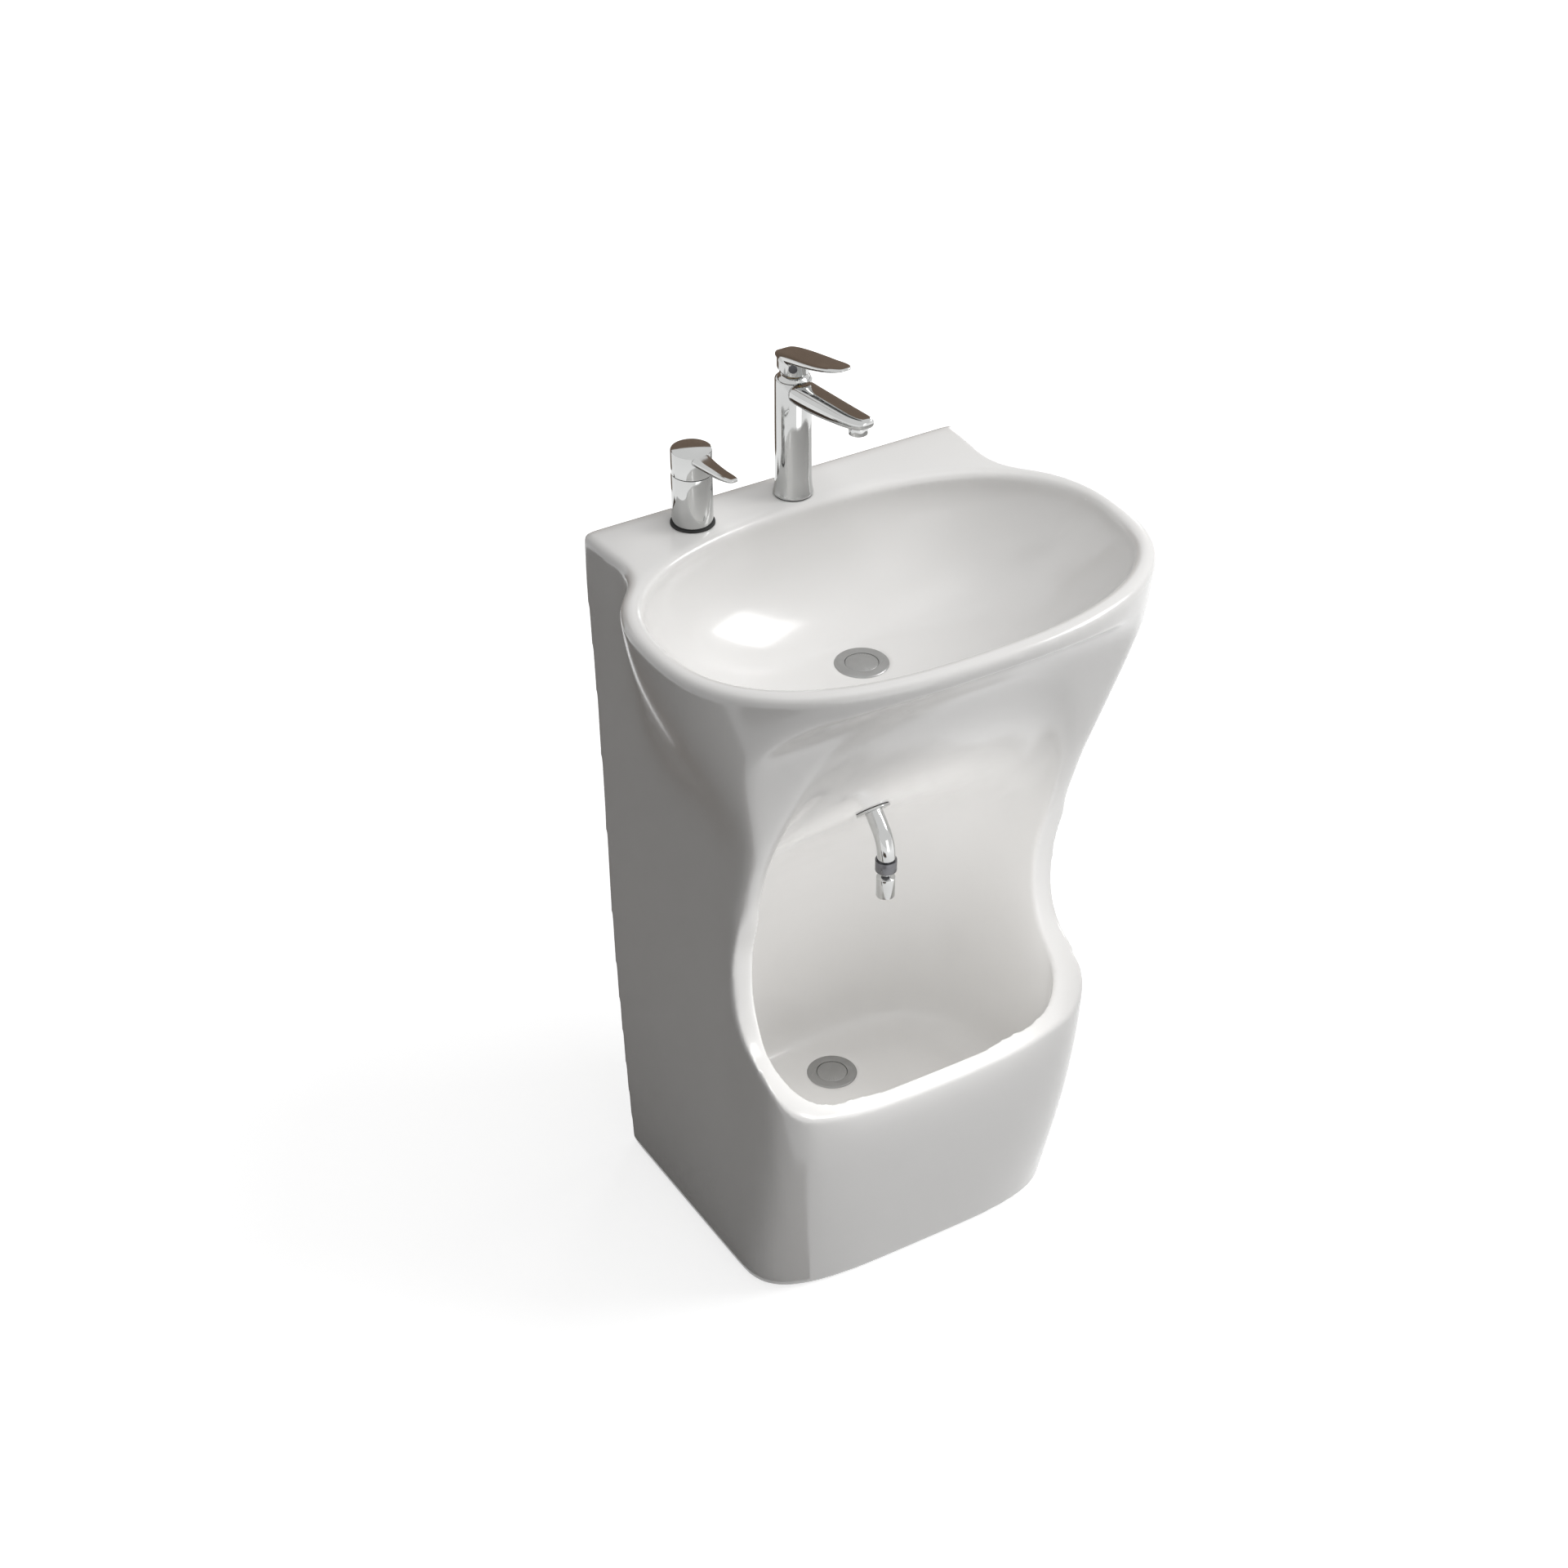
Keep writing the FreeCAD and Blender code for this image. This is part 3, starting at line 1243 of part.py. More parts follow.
valve_gasket = ring("valve_gasket", "valve_gasket_radius", "tap_shank_radius + fit_gap", "0",
                    "valve_gasket_thickness")
node(place(valve_gasket, x="valve_x", y="tap_y", z="deck_height"), "valve_gasket")
node(shaped("valve_body", at_valve(valve_body_shape())), "valve_body")
turned_valve("valve_headwork", [
    ("0", "valve_cartridge_floor + fit_gap"), ("cartridge_radius", "valve_cartridge_floor + fit_gap"),
    ("cartridge_radius", "valve_headwork_top"), ("valve_spindle_radius + running_gap", "valve_headwork_top"),
    ("valve_spindle_radius + running_gap", "valve_headwork_top - valve_partition"),
    ("0", "valve_headwork_top - valve_partition")])
turned_valve("valve_headwork_nut", [
    ("valve_boss_radius + running_gap", "valve_headwork_top"), ("cartridge_radius", "valve_headwork_top"),
    ("cartridge_radius", "valve_headwork_top + valve_nut_length"),
    ("valve_boss_radius + running_gap", "valve_headwork_top + valve_nut_length")])
node(place(cylinder("valve_spindle", "valve_spindle_radius",
                    "deck_height + valve_headwork_top - valve_partition + running_gap",
                    "valve_spindle_length + valve_partition - running_gap", x="valve_x", y="tap_y"),
           x="valve_x", y="tap_y", z="deck_height + valve_headwork_top - valve_partition + running_gap"),
     "valve_spindle")
node(shaped("valve_handle", at_valve(valve_handle_shape())), "valve_handle")
grub_height = size.valve_handle_top - size.valve_lever_thickness
grub_tip = Vector(0, size.valve_spindle_radius + size.fit_gap, grub_height)
valve_grub = rod(size.grub_radius, grub_tip, grub_tip + Vector(0, size.grub_length, 0))
node(shaped("valve_handle_screw", at_valve(valve_grub)), "valve_handle_screw")
tail("valve_inlet_tail", "valve_x + tail_spread", "valve_partition_bottom", "supply_tail_length")
tail("valve_outlet_tail", "valve_x - tail_spread", "valve_partition_bottom", "tail_length")


# Foot spout: the arm passes through the alcove's wall, square to its pad


def along_normal(distance):
    return seat + spout_normal * distance


wall_corner = along_normal(size.arm_forward / abs(spout_normal.y))
half_bend = math.atan2(abs(spout_normal.y), abs(spout_normal.z)) / 2
arm_end = wall_corner - Vector(0, 0, size.arm_bend_radius * math.tan(half_bend) + size.arm_straight)


def arm_shape():
    points = [along_normal(-size.arm_shank_length), wall_corner, arm_end]
    arm = pipe(points, [size.arm_bend_radius], size.arm_radius, size.arm_bore)
    tip = arm_end - Vector(0, 0, size.arm_spigot_length)
    spigot = rod(size.arm_spigot_radius, arm_end, tip).cut(rod(size.arm_bore, arm_end, tip))
    mouth = rod(size.arm_mouth_radius, tip, tip + Vector(0, 0, size.arm_mouth_depth))
    return arm.fuse(spigot).cut(mouth)


def wall_ring(outer, inner, near, far):
    ends = (along_normal(near), along_normal(far))
    return rod(outer, *ends).cut(rod(inner, *ends))


def hexagon_along(flats, start, end):
    """A hexagon bar between two points."""
    radius = flats / math.sqrt(3)
    corners = []
    for i in range(7):
        angle = math.pi * i / 3
        corners.append(Vector(radius * math.cos(angle), radius * math.sin(angle), 0))
    bar = Part.Face(Part.makePolygon(corners)).extrude(Vector(0, 0, (end - start).Length))
    bar.Placement = FreeCAD.Placement(start, FreeCAD.Rotation(Vector(0, 0, 1), end - start))
    return bar


arm_bore = size.arm_radius + size.fit_gap
node(shaped("foot_spout_arm", arm_shape()), "foot_spout_arm")
node(shaped("foot_spout_seal", wall_ring(size.escutcheon_radius - size.spout_seal_thickness, arm_bore, 0,
                                         size.spout_seal_thickness)), "foot_spout_seal")
node(shaped("foot_spout_escutcheon", wall_ring(size.escutcheon_radius, arm_bore, size.spout_seal_thickness,
                                               size.spout_seal_thickness + size.escutcheon_thickness)),
     "foot_spout_escutcheon")
washer_back = -size.wall - size.spout_washer_thickness
node(shaped("foot_spout_washer", wall_ring(size.spout_washer_radius, arm_bore, -size.wall, washer_back)),
     "foot_spout_washer")
nut_ends = (along_normal(washer_back), along_normal(washer_back - size.spout_nut_thickness))
locknut = hexagon_along(size.spout_nut_flats, *nut_ends).cut(rod(arm_bore, *nut_ends))
node(shaped("foot_spout_locknut", locknut), "foot_spout_locknut")


def at_arm_end(shape):
    shape.translate(arm_end)
    return shape


def spun(corners):
    points = [Vector(radius, 0, height) for radius, height in corners]
    points.append(points[0])
    return Part.Face(Part.makePolygon(points)).revolve(Vector(), Vector(0, 0, 1), 360)


def collar_shape():
    """The ring that holds the ball against the arm's end."""
    bore = size.arm_spigot_radius + size.running_gap
    lip_level = size.ball_centre - size.ball_radius / 2
    lip = math.sqrt(size.ball_radius ** 2 - (size.ball_radius / 2) ** 2) + size.running_gap
    bottom = lip_level - size.collar_lip
    edge = size.collar_lip / 2
    return spun([(bore, -size.running_gap), (size.collar_radius, -size.running_gap),
                 (size.collar_radius, bottom + edge), (size.collar_radius - edge, bottom), (lip, bottom),
                 (lip, lip_level), (bore, lip_level)])


def nozzle_shape():
    centre = Vector(0, 0, size.ball_centre)
    neck_bottom = size.ball_centre - size.nozzle_neck_length
    shoulder = neck_bottom - size.nozzle_shoulder
    bottom = neck_bottom - size.nozzle_length
    chamber = size.nozzle_radius - size.nozzle_wall
    bell = spun([(0, neck_bottom), (size.nozzle_neck_radius, neck_bottom), (size.nozzle_radius, shoulder),
                 (size.nozzle_radius, bottom), (chamber, bottom), (chamber, shoulder - size.nozzle_wall),
                 (0, shoulder - size.nozzle_wall)])
    ball = Part.makeSphere(size.ball_radius, centre)
    neck = rod(size.nozzle_neck_radius, centre, Vector(0, 0, neck_bottom - size.nozzle_wall / 2))
    bore = rod(size.ball_bore, centre + Vector(0, 0, size.ball_radius), Vector(0, 0, bottom))
    return main_solid(ball.fuse([neck, bell]).cut(bore))


def nozzle_insert_shape():
    bottom = size.ball_centre - size.nozzle_neck_length - size.nozzle_length + size.nozzle_insert_depth
    radius = size.nozzle_radius - size.nozzle_wall - size.fit_gap
    return rod(radius, Vector(0, 0, bottom), Vector(0, 0, bottom + size.nozzle_insert_length))


def nozzle_seal_shape():
    """A soft ring in the spigot's mouth, just above the ball."""
    top = size.arm_mouth_depth - size.arm_spigot_length - size.fit_gap
    bottom = top - size.nozzle_seal_thickness
    inner = math.sqrt(size.ball_radius ** 2 - (bottom - size.ball_centre) ** 2) + size.running_gap
    outer = size.arm_mouth_radius - size.fit_gap
    return spun([(inner, bottom), (outer, bottom), (outer, top), (inner, top)])


node(shaped("foot_spout_collar", at_arm_end(collar_shape())), "foot_spout_collar")
node(shaped("foot_nozzle", at_arm_end(nozzle_shape())), "foot_nozzle")
node(shaped("foot_nozzle_insert", at_arm_end(nozzle_insert_shape())), "foot_nozzle_insert")
node(shaped("foot_nozzle_seal", at_arm_end(nozzle_seal_shape())), "foot_nozzle_seal")


# Feed pipe from the valve's outlet to the foot spout, held by a nut at each end

feed_start = along_normal(-size.arm_shank_length - size.running_gap)
tail_end = Vector(size.valve_x - size.tail_spread, size.tap_y,
                  size.deck_height + size.tail_grip - size.tail_length - size.running_gap)


def feed_points():
    turn_back = along_normal(-size.arm_shank_length - size.feed_run)
    aside = Vector(tail_end.x, (turn_back.y + tail_end.y) / 2, turn_back.z + size.feed_rise)
    rise = Vector(tail_end.x, tail_end.y, tail_end.z - size.feed_fall)
    return [feed_start, turn_back, aside, rise, tail_end]


def union_nut_shape():
    """The nut that draws the feed pipe to the arm's threaded end."""
    low = -size.arm_shank_length - size.running_gap - size.union_nut_floor
    high = -size.arm_shank_length + size.union_nut_grip
    nut = hexagon_along(size.union_nut_flats, along_normal(low), along_normal(high))
    tools = [rod(size.feed_radius + size.fit_gap, along_normal(low), along_normal(high))]
    tools.append(rod(arm_bore, along_normal(-size.arm_shank_length - size.running_gap), along_normal(high)))
    return nut.cut(tools)


def valve_nut_shape():
    """The compression nut over the meeting of the valve's outlet tail and the feed pipe."""
    low = tail_end - Vector(0, 0, size.feed_nut_length / 2)
    high = tail_end + Vector(0, 0, size.feed_nut_length / 2)
    return hexagon_along(size.feed_nut_flats, low, high).cut(rod(size.feed_radius + size.fit_gap, low, high))


node(shaped("feed_pipe", pipe(feed_points(), [size.feed_bend_radius] * 3, size.feed_radius, size.feed_bore)),
     "feed_pipe")
node(shaped("feed_union_nut", union_nut_shape()), "feed_union_nut")
node(shaped("feed_valve_nut", valve_nut_shape()), "feed_valve_nut")

doc.recompute()


def check_and_write():
    for item in doc.Objects:
        if "Invalid" in item.State or "Error" in item.State:
            raise RuntimeError("object failed: " + item.Name)
    for item in nodes:
        if item.Shape.isNull() or not item.Shape.isValid():
            raise RuntimeError("bad shape: " + item.Label)
    os.makedirs("parts", exist_ok=True)
    for item in nodes:
        item.Shape.exportStep("parts/%s.step" % item.Label)
        box = item.Shape.BoundBox
        print("%-24s solids %d volume %.0f  %.1f %.1f %.1f to %.1f %.1f %.1f" % (
            item.Label, len(item.Shape.Solids), item.Shape.Volume,
            box.XMin, box.YMin, box.ZMin, box.XMax, box.YMax, box.ZMax))


check_and_write()
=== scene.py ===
"""Outdoor pedestal sink: glazed ceramic body, lever mixer, foot valve and foot spout.

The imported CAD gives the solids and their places. The ceramic and the parts of the taps that show most
are modelled anew here, the other solids are dressed, and the stage is set as in the photograph.
"""

import json
import math

import bpy
from bpy.props import FloatProperty, FloatVectorProperty, IntProperty, PointerProperty
from bpy.types import Operator, Panel, PropertyGroup
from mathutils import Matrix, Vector

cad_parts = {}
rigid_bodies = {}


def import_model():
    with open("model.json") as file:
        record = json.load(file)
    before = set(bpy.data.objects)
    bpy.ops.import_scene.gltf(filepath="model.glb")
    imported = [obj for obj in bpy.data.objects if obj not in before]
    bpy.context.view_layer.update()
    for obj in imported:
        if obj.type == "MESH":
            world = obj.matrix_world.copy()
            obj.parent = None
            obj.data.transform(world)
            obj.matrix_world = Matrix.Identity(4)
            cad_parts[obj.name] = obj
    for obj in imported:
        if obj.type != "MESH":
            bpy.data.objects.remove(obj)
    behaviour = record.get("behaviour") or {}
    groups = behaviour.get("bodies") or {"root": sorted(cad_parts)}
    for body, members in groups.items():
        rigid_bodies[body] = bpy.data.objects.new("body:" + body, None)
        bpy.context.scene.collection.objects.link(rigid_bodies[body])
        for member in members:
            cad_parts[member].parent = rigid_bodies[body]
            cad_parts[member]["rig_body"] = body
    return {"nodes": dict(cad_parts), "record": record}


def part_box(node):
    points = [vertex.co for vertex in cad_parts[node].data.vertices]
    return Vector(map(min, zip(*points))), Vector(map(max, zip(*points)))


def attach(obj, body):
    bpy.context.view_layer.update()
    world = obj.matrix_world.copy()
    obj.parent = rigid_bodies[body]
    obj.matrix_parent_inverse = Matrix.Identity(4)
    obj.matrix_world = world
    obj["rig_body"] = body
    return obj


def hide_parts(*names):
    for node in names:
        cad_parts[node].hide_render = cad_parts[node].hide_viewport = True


bl_info = {
    "name": "Pedestal Sink",
    "version": (1, 0, 0),
    "blender": (4, 5, 0),
    "location": "3D View > Sidebar > Sink",
    "description": "Dresses the pedestal sink: ceramic, taps, wastes, plumbing and stage",
    "category": "Object",
}

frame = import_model()

CASTINGS = ("hand_basin_casting", "column_casting", "foot_basin_casting")

# The taps stand on the deck, in one line.
TAP_LINE = 0.175
VALVE_SIDE = -0.127
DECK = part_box("hand_basin_casting")[1].z
MIXER = Vector((0.0, TAP_LINE, DECK))
VALVE = Vector((VALVE_SIDE, TAP_LINE, DECK))

# Distances under which points are taken as one: in pieces made here, and in the solids' loose triangles.
MERGE = 0.00001
WELD = 0.000004

# Edges flatter than these angles, in degrees, are shaded smooth.
SOFT_ANGLE = 60.0
TURNED_ANGLE = 40.0
FITTING_ANGLE = 30.0

# How far the column's flat ends are drawn into the castings over and under it, and how level a face of
# such an end is and how near to the seam's height.
SEAM_LAP = 0.001
SEAM_LEVEL = 0.999
SEAM_REACH = 0.00002

# Borders of the zones of the ceramic that are sponged more, how wide each zone fades in, and the least
# share that counts.
LEAST_SHARE = 0.01
ZONE_TOP = 0.872
BROW_SIDE, BROW_FOOT, BROW_BACK = 0.225, 0.62, -0.05
WING_SIDE, WING_FOOT, WING_BACK = 0.16, 0.52, 0.18
WALL_EDGE = 0.195
ZONE_FADE = 0.03
WALL_FADE = 0.02

# The mixer's foot below its flare, and the flare's curve.
FOOT_TOP = 0.0042
FOOT_EASE = 0.0003
FLARE_STEPS = 8
FLARE_CURVE = 2.2

# Sections of the bars that are drawn here: place along the bar, underside and top over the deck, and
# share of the bar's half width. A bar is stretched until its last section stands at its full reach.
SPOUT = ((0.07, 0.1177, 0.1417, 1), (0.14, 0.1185, 0.1425, 0.99), (0.3, 0.121, 0.145, 0.97),
         (0.45, 0.1245, 0.1475, 0.94), (0.6, 0.1292, 0.1498, 0.9), (0.74, 0.134, 0.152, 0.87),
         (0.85, 0.1382, 0.1542, 0.81), (0.93, 0.142, 0.1561, 0.7), (0.975, 0.1452, 0.1568, 0.56),
         (1, 0.1485, 0.1564, 0.4))
PADDLE = ((-0.024, 0.1602, 0.1648, 0.5), (-0.02, 0.16, 0.167, 0.72), (-0.01, 0.16, 0.1692, 0.95),
          (0.01, 0.1638, 0.1745, 1), (0.03, 0.1692, 0.179, 1), (0.048, 0.1745, 0.183, 1),
          (0.066, 0.18, 0.187, 0.95), (0.083, 0.1856, 0.192, 0.87), (0.095, 0.19, 0.1952, 0.72),
          (0.102, 0.193, 0.1968, 0.54), (0.106, 0.1948, 0.1974, 0.36))
VALVE_LEVER = ((0.012, 0.0795, 0.0902, 1.5), (0.022, 0.08, 0.0902, 1.38), (0.034, 0.0808, 0.0905, 1.2),
               (0.047, 0.082, 0.0915, 1.05), (0.06, 0.0838, 0.0925, 0.95), (0.072, 0.0866, 0.0938, 0.9),
               (0.081, 0.0893, 0.0952, 0.86), (0.0875, 0.0912, 0.096, 0.72), (0.0905, 0.0922, 0.0962, 0.56),
               (0.092, 0.093, 0.0958, 0.4))
VALVE_LEVER_WIDTH = 0.008

# The hub of the mixer's lever: its sides, and the sloping plane that cuts its underside.
HUB_SIDES = 72
HUB_CUT_HEIGHT = 0.1522
HUB_CUT_NORMAL = (0, 0.2116, -0.9774)
HUB_GRAIN = 0.0006
HUB_ROUNDS = 14
HUB_TRIANGLES = 90000

# Fittings that show at the front get broken edges of this width.
EDGE_BREAK = 0.0002
EDGE_FITTINGS = (
    "valve_body", "valve_gasket", "mixer_gasket", "mixer_aerator", "mixer_cartridge_nut", "bowl_waste_body",
    "foot_waste_body", "bowl_plug", "foot_plug", "foot_spout_seal", "foot_spout_escutcheon",
    "foot_spout_collar", "foot_nozzle", "mixer_index_button")
ROUND_FITTINGS = (
    "bowl_waste_pipe", "foot_waste_elbow", "waste_tee", "feed_pipe", "mixer_hot_tail", "mixer_cold_tail",
    "valve_inlet_tail", "valve_outlet_tail", "slip_nuts", "tap_shanks")

# Lamps: name, place, the point they shine at, size, and if metal and glaze reflect them.
MIDDLE = (0.0, 0.0, 0.5)
LAMPS = (
    ("key", (2.3, -1.2, 2.5), MIDDLE, 1.3, True),
    ("top", (0.2, -0.4, 3.2), (0.2, -0.4, 0.5), 1.6, False),
    ("window", (2.2, 2.2, 1.45), MIDDLE, 0.9, True),
    ("fill", (0.1, -2.9, 0.6), MIDDLE, 1.6, True),
    ("alcove", (0.0, -0.19, 0.43), (0.0, 0.5, 0.43), 0.24, False))

# Dark cards: name, place, turn, size, and how much paler than the darkest.
CARDS = (
    ("card_left", (-0.75, 0.65, 0.01), (0, 0, 0), (1.2, 1.9, 1.0), 1.0),
    ("card_behind", (0.4, 1.9, 1.0), (math.pi / 2, 0, 0), (2.4, 1.0, 1.9), 2.6),
    ("card_front", (-1.05, -1.0, 0.01), (0, 0, 0.7), (0.45, 1.0, 1.0), 1.0))
CARD_COLOURS = ((0.11, 0.08, 0.06), (0.15, 0.115, 0.09))

# The floor lies just under the foot, and is plain white in view from the far distance on.
FLOOR_SIZE = 30
FLOOR_DROP = 0.0005
FLOOR_NEAR = 0.7
FLOOR_FAR = 2.2
WHITE = (1.0, 1.0, 1.0)
SENSOR_WIDTH = 36.0


# ---------------------------------------------------------------- settings


class SinkCeramicSettings(PropertyGroup):
    glaze_colour: FloatVectorProperty(
        name="Glaze colour", description="White of the glaze where it lies thick",
        default=(0.83, 0.822, 0.81), subtype="COLOR", min=0, max=1)
    thin_glaze_colour: FloatVectorProperty(
        name="Thin glaze colour", description="White of the glaze where it has run thin",
        default=(0.8, 0.79, 0.775), subtype="COLOR", min=0, max=1)
    edge_softness: FloatProperty(
        name="Edge softness", description="Size of the clay's grain, over which its edges are softened",
        default=0.0027, min=0.002, max=0.01, subtype="DISTANCE", unit="LENGTH")
    sponging_rounds: IntProperty(
        name="Sponging", description="How often all edges are sponged", default=15, min=0, max=60)
    brow_rounds: IntProperty(
        name="Brow sponging", description="How often the brow over the alcove is sponged",
        default=95, min=0, max=200)
    wing_rounds: IntProperty(
        name="Wing sponging", description="How often the hollows beside the bowl are sponged",
        default=95, min=0, max=200)
    back_rounds: IntProperty(
        name="Back sponging", description="How often the edges at the wall are sponged",
        default=25, min=0, max=100)
    most_triangles: IntProperty(
        name="Most triangles", description="Triangles that the ceramic may have",
        default=196000, min=20000, max=199000)


class SinkTapSettings(PropertyGroup):
    chrome_colour: FloatVectorProperty(
        name="Chrome colour", description="Colour that the plated taps reflect",
        default=(0.56, 0.565, 0.56), subtype="COLOR", min=0, max=1)
    chrome_roughness: FloatProperty(
        name="Chrome roughness", description="Haze of the polished plating", default=0.07, min=0, max=1)
    steel_colour: FloatVectorProperty(
        name="Steel colour", description="Colour of the satin waste fittings",
        default=(0.42, 0.42, 0.415), subtype="COLOR", min=0, max=1)
    column_radius: FloatProperty(
        name="Column radius", description="Radius of the mixer's column", default=0.0204,
        subtype="DISTANCE", unit="LENGTH")
    column_height: FloatProperty(
        name="Column height", description="Height of the mixer's column over the deck", default=0.141,
        subtype="DISTANCE", unit="LENGTH")
    foot_radius: FloatProperty(
        name="Foot radius", description="Radius of the mixer's flared foot", default=0.0223,
        subtype="DISTANCE", unit="LENGTH")
    flare_height: FloatProperty(
        name="Flare height", description="Height of the mixer's flared foot", default=0.024,
        subtype="DISTANCE", unit="LENGTH")
    spout_reach: FloatProperty(
        name="Spout reach", description="How far the spout stands out from the column's axis", default=0.15,
        subtype="DISTANCE", unit="LENGTH")
    spout_width: FloatProperty(
        name="Spout width", description="Half the width of the spout at its root", default=0.017,
        subtype="DISTANCE", unit="LENGTH")
    lever_reach: FloatProperty(
        name="Lever reach", description="How far the paddle lever stands out from the column's axis",
        default=0.106, subtype="DISTANCE", unit="LENGTH")
    lever_width: FloatProperty(
        name="Lever width", description="Half the width of the paddle lever", default=0.0165,
        subtype="DISTANCE", unit="LENGTH")
    hub_radius: FloatProperty(
        name="Hub radius", description="Radius of the lever's hub", default=0.018,
        subtype="DISTANCE", unit="LENGTH")
    valve_radius: FloatProperty(
        name="Valve radius", description="Radius of the foot valve and its cap", default=0.0227,
        subtype="DISTANCE", unit="LENGTH")
    valve_lever_reach: FloatProperty(
        name="Valve lever reach", description="How far the foot valve's lever stands out from its axis",
        default=0.092, subtype="DISTANCE", unit="LENGTH")


class SinkStageSettings(PropertyGroup):
    floor_colour: FloatVectorProperty(
        name="Floor colour", description="Colour of the plain floor", default=(0.6, 0.6, 0.6),
        subtype="COLOR", min=0, max=1)
    floor_glow: FloatProperty(
        name="Floor glow", description="How far the floor near the sink is lifted to white for the camera",
        default=0.72, min=0, max=1)
    sky_level: FloatProperty(
        name="Sky level", description="Light that comes evenly from all round", default=0.21, min=0, max=2)
    key_power: FloatProperty(
        name="Key power", description="Power of the lamp high on the right, in watts",
        default=40.0, min=0, unit="POWER")
    top_power: FloatProperty(
        name="Top power", description="Power of the large lamp overhead, in watts",
        default=29.0, min=0, unit="POWER")
    window_power: FloatProperty(
        name="Window power", description="Power of the lamp behind at the right, in watts",
        default=9.0, min=0, unit="POWER")
    fill_power: FloatProperty(
        name="Fill power", description="Power of the low lamp in front, in watts",
        default=9.0, min=0, unit="POWER")
    alcove_power: FloatProperty(
        name="Alcove power", description="Power of the small lamp in the alcove's mouth, in watts",
        default=0.48, min=0, unit="POWER")
    camera_place: FloatVectorProperty(
        name="Camera place", description="Where the camera stands", default=(-1.5304, -2.3375, 2.5593),
        subtype="TRANSLATION", unit="LENGTH")
    camera_tilt: FloatProperty(
        name="Camera tilt", description="How far the camera looks down from level",
        default=math.radians(35.08), subtype="ANGLE")
    camera_turn: FloatProperty(
        name="Camera turn", description="How far the camera is turned from straight ahead",
        default=math.radians(-31.15), subtype="ANGLE")
    camera_lens: FloatProperty(
        name="Camera lens", description="Focal length on a 36 mm sensor, in millimetres",
        default=70.5, min=10, unit="CAMERA")


# ---------------------------------------------------------------- finishes


class Value:
    """An output of a node. Sums written with it add Math nodes."""

    def __init__(self, bench, socket):
        self.bench = bench
        self.socket = socket

    def sum(self, operation, first, second):
        return self.bench.add("ShaderNodeMath", {"operation": operation}, {0: first, 1: second})

    def __add__(self, other):
        return self.sum("ADD", self, other)

    def __radd__(self, other):
        return self.sum("ADD", other, self)

    def __mul__(self, other):
        return self.sum("MULTIPLY", self, other)

    def __rmul__(self, other):
        return self.sum("MULTIPLY", other, self)


class NodeBench:
    """A node tree in the making."""

    def __init__(self, tree):
        self.tree = tree
        tree.nodes.clear()

    def feed(self, socket, value):
        if isinstance(value, Value):
            self.tree.links.new(value.socket, socket)
        else:
            if isinstance(value, (tuple, list)) and len(value) == 3 and len(socket.default_value) == 4:
                value = (*value, 1.0)
            socket.default_value = value

    def add(self, kind, settings, inputs, output=0):
        """A node of a kind, its settings first, then its sockets; gives one of its outputs."""
        node = self.tree.nodes.new(kind)
        for name, setting in settings.items():
            setattr(node, name, setting)
        for socket, value in inputs.items():
            self.feed(node.inputs[socket], value)
        return Value(self, node.outputs[output]) if len(node.outputs) else None

    def in_view(self):
        """One for rays from the camera, off a shine or through glass, and zero for all others."""
        rays = [self.add("ShaderNodeLightPath", {}, {}, "Is %s Ray" % kind)
                for kind in ("Camera", "Glossy", "Transmission")]
        return rays[0] + rays[1] + rays[2]


class Finish(NodeBench):
    """A material in the making."""

    def __init__(self, name):
        self.material = bpy.data.materials.new(name)
        self.material.use_nodes = True
        super().__init__(self.material.node_tree)

    def place(self):
        """The point's place in its own piece."""
        return self.add("ShaderNodeTexCoord", {}, {}, "Object")

    def noise(self, place, scale, detail=2.0, roughness=0.5):
        """Values that drift between zero and one."""
        return self.add("ShaderNodeTexNoise", {"noise_dimensions": "3D"},
                        {"Vector": place, "Scale": scale, "Detail": detail, "Roughness": roughness}, "Fac")

    def blend(self, factor, first, second):
        """A colour between two. The numbers name the colour sockets of the Mix node."""
        return self.add("ShaderNodeMix", {"data_type": "RGBA"},
                        {0: factor, 6: (*first, 1.0), 7: (*second, 1.0)}, 2)

    def relief(self, height, distance, strength):
        """A small unevenness that only the light shows."""
        return self.add("ShaderNodeBump", {},
                        {"Height": height, "Distance": distance, "Strength": strength}, "Normal")

    def shader(self, **values):
        """The Principled shader, its sockets named with an underscore for each space."""
        inputs = {socket.replace("_", " "): value for socket, value in values.items()}
        return self.add("ShaderNodeBsdfPrincipled", {}, inputs, "BSDF")

    def surface(self, shader):
        """The finished material, with this shader as its surface."""
        self.add("ShaderNodeOutputMaterial", {}, {"Surface": shader})
        return self.material

    def give(self, **values):
        """The finished material, with a Principled shader of these values."""
        return self.surface(self.shader(**values))


def dimmed(colour, share):
    """A colour with each part multiplied by the same share."""
    return tuple(part * share for part in colour)


def clouded(name, colours, cloud, rough, grain=None, **others):
    """A material whose colour and roughness drift together, with a fine relief if a grain is given."""
    finish = Finish(name)
    place = finish.place()
    drift = finish.noise(place, *cloud)
    if grain:
        scale, detail, distance, strength = grain
        others["Normal"] = finish.relief(finish.noise(place, scale, detail), distance, strength)
    least, spread = rough
    return finish.give(Base_Color=finish.blend(drift, *colours), Roughness=least + drift * spread, **others)


FINISHES = {}

